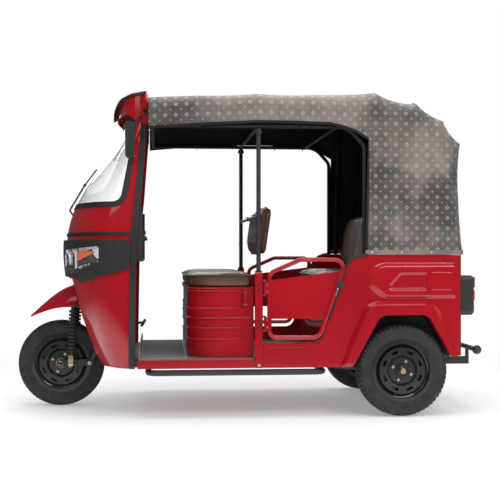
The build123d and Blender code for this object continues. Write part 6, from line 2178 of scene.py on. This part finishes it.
    def section(self, top: Station, low: tuple[float, float]) -> tuple[list, list, list]:
        """Gives one section of the left half, from the lower edge to the middle.

        Args:
            top: The section's point on the top line, and the distance along that line.
            low: The section's point on the lower edge.

        Returns:
            Its points, and their places on the side's and on the roof's cloth.
        """
        z, down, length, radius = self.slope(top, low)
        first = self.lay(self.top[self.bow])
        level = (z if top[0] < first[0] and top[2] < first[0] else first[1] - self.crown) - radius
        shoulder = self.corner - SIDE_Y - self.corner * math.pi / 2
        points, side_flat, roof_flat = [], [], []
        side_steps, arc_steps, roof_steps = 26, 9, 20
        for k in range(side_steps):
            px, py, pz = self.side_point(top, low, (length - radius) * k / side_steps)
            points.append((px, py, pz))
            side_flat.append((px, shoulder + pz - level))
            roof_flat.append((top[2], shoulder))
        for k in range(arc_steps + 1):
            angle = math.pi / 2 * k / arc_steps
            reach = radius * (1 - math.sin(angle))
            y = -SIDE_Y + radius * (1 - math.cos(angle))
            px, pz = top[0] + down.x * reach, z + down.y * reach
            sink = (self.bow_dip(px, pz) + self.ripple(px, pz)) * math.cos(angle)
            points.append((px, y + 0.001 + sink, pz))
            unrolled = radius * (1 - angle)
            side_flat.append((top[0] + down.x * unrolled, shoulder + z + down.y * unrolled - level))
            roof_flat.append((top[2], radius - SIDE_Y - radius * (math.pi / 2 - angle)))
        crown = top[1] - z
        for k in range(1, roof_steps + 1):
            y = (-SIDE_Y + radius) * (1 - k / roof_steps)
            lift = crown * (1 - (y / (SIDE_Y - radius)) ** 2)
            waves = math.sin(9.0 * y + 5.0 * top[0]) * math.sin(13.0 * top[0] + 2.0 * y)
            rough = 0.0018 * waves * math.sin(math.pi * k / roof_steps)
            points.append((top[0] + rough, y, z + lift + rough))
            side_flat.append((top[2], y))
            roof_flat.append((top[2], y))
        return points, side_flat, roof_flat

    def cloth(self) -> bpy.types.Object:
        """Builds the canopy as one sheet with its lining inside.

        Returns:
            The sheet.
        """
        rows, sides, roofs = [], [], []
        for top, low in self.stations():
            points, side_flat, roof_flat = self.section(top, low)
            rows.append([*points, *[(x, -y, z) for x, y, z in reversed(points[:-1])]])
            sides.append([*side_flat, *[(u, -v) for u, v in reversed(side_flat[:-1])]])
            roofs.append([*roof_flat, *[(u, -v) for u, v in reversed(roof_flat[:-1])]])
        columns = len(rows[0])
        faces = grid_faces(len(rows), columns)
        mesh = bpy.data.meshes.new("canopy_cloth")
        mesh.from_pydata([tuple(at(*p)) for row in rows for p in row], [], faces)
        layer = mesh.uv_layers.new(name="cloth")
        for polygon in mesh.polygons:
            column = min(vertex % columns for vertex in polygon.vertices)
            flats = roofs if self.roof_from <= column < columns - 1 - self.roof_from else sides
            for loop in polygon.loop_indices:
                row, place = divmod(mesh.loops[loop].vertex_index, columns)
                layer.data[loop].uv = flats[row][place]
        mesh.polygons.foreach_set("use_smooth", [True] * len(mesh.polygons))
        piece = bpy.data.objects.new("canopy_cloth", mesh)
        bpy.context.collection.objects.link(piece)
        self.face_out(mesh)
        mesh.materials.append(PrintedCloth().material())
        mesh.materials.append(LINING.material())
        thick = piece.modifiers.new("lining", "SOLIDIFY")
        thick.thickness = self.thickness
        thick.offset = -1.0
        thick.material_offset = 1
        thick.material_offset_rim = 1
        Padding.keep_result(piece)
        return piece

    @staticmethod
    def face_out(mesh: bpy.types.Mesh) -> None:
        """Turns the sheet's faces outward.

        Args:
            mesh: The sheet's mesh.
        """
        top = max(mesh.polygons, key=lambda face: face.center.z)
        if top.normal.z < 0:
            mesh.flip_normals()

    def edge_tape(self) -> bpy.types.Object:
        """Builds the tape along the left valance and doorway, lying on the cloth.

        Returns:
            The tape.
        """
        shape = ((-0.0015, -0.0045), (-0.0025, 0.0), (-0.0010, 0.0022), (0.006, 0.0026), (0.012, 0.0022),
                 (0.0125, 0.0), (0.012, -0.0050), (0.006, -0.0050))
        rows = []
        for top, low in self.stations():
            middle = at(*self.side_point(top, low, 0.010))
            ring = []
            for above, proud in shape:
                x, y, z = self.side_point(top, low, above)
                ring.append(at(x, y - proud, z))
            rows.append((middle, ring))
        kept = [rows[0]]
        for row in rows[1:]:
            if (row[0] - kept[-1][0]).length > 0.004:
                kept.append(row)
        count = len(kept[0][1])
        faces = grid_faces(len(kept), count, round_columns=True)
        faces += [tuple(range(count)), tuple((len(kept) - 1) * count + k for k in reversed(range(count)))]
        return add_mesh("tape", [p for _, ring in kept for p in ring], faces, 50.0)

    @staticmethod
    def outward(bottom: Path, i: int) -> Vector:
        """Gives the level direction out of the hem's line at a point.

        Args:
            bottom: The hem's line.
            i: Number of the point.

        Returns:
            The direction.
        """
        along = (bottom[min(i + 1, len(bottom) - 1)] - bottom[max(i - 1, 0)]).normalized()
        out = UP.cross(along)
        inside = at(1.9, 0, bottom[i].z)
        return -out if out.dot(bottom[i] - inside) < 0 else out

    def hems(self) -> list[bpy.types.Object]:
        """Adds the tape along the valances and doorways, and the hem over the tub with its snaps.

        Returns:
            The pieces sewn or fixed to the cloth.
        """
        tapes = paired("edge_tapes", [self.edge_tape()], WEBBING)
        half = [at(*p) for p in self.section(*self.stations()[-1])[0]]
        bottom = [*half, *[Vector((p.x, -p.y, p.z)) for p in reversed(half[:-1])]]
        shape = ((-0.005, 0.0), (0.0022, 0.0), (0.0030, 0.5), (0.0022, 1.0), (-0.005, 1.0))
        lift = UP * 0.026
        points = [point + self.outward(bottom, i) * proud + lift * up
                  for i, point in enumerate(bottom) for proud, up in shape]
        hem = add_mesh("tub_hem", points, grid_faces(len(bottom), len(shape), round_columns=True), 70.0)
        dress(hem, HEM_CLOTH)
        return [tapes, hem, self.snaps(bottom)]

    def snaps(self, bottom: Path) -> bpy.types.Object:
        """Adds the snap buttons along the lower hem.

        Args:
            bottom: The hem's line round the tub.

        Returns:
            The buttons.
        """
        first, pitch, height = 0.020, 0.168, 0.013
        shape = [(0, 0), (0, 0.0052), (0.0012, 0.0050), (0.0022, 0.0032), (0.0026, 0)]
        buttons, walked, wanted = [], 0.0, first
        for i in range(1, len(bottom)):
            walked += (bottom[i] - bottom[i - 1]).length
            if walked >= wanted:
                wanted += pitch
                out = self.outward(bottom, i)
                buttons.append(turned("button", shape, bottom[i] + out * 0.0025 + UP * height, out, 18))
        return joined("snap_buttons", buttons, STEEL, "steel")

    def straps(self) -> None:
        """Adds the straps that tie the cloth to its rails."""
        straps = []
        for x in (0.56, 0.80, 1.30, 1.48):
            ring = [at(x, -0.593 + 0.0135 * math.cos(a), 1.548 + 0.0135 * math.sin(a)) for a in
                    (math.tau * k / 20 for k in range(20))]
            straps.append(bar("strap", ring, 0.009, 8, loop=True, flat=0.18))
        paired("rail_straps", straps, WEBBING)

    def build(self) -> None:
        """Builds the canopy and dresses its frame."""
        coat_nodes(LINING, "hood_frame")
        cloth = self.cloth()
        dress(cloth, LINING, replaces=("canopy",))
        self.hems()
        self.straps()


def wheels() -> list[Wheel]:
    """Gives the three wheels.

    Returns:
        The wheels.
    """
    made = [Wheel("front", "front_wheel", at(0, 0, AXLE_Z), LEFT, ("front_tyre", "front_rim"))]
    for side, label in ((LEFT, "left"), (RIGHT, "right")):
        hub = at(REAR_AXLE, side * REAR_WHEEL_Y, AXLE_Z)
        made.append(Wheel("rear_" + label, "rear_wheel_" + label, hub, side,
                          ("rear_tyre_" + label, "rear_rim_" + label)))
    return made


def main() -> None:
    """Builds every assembly in order."""
    logging.basicConfig(level=logging.INFO, format="%(message)s")
    for assembly in (Studio(), Nose(), Steering(), *wheels(), Seats(), Cab(), Tub(), Underside(), Canopy()):
        LOG.info("building %s", type(assembly).__name__)
        assembly.build()


if __name__ == "__main__":
    main()
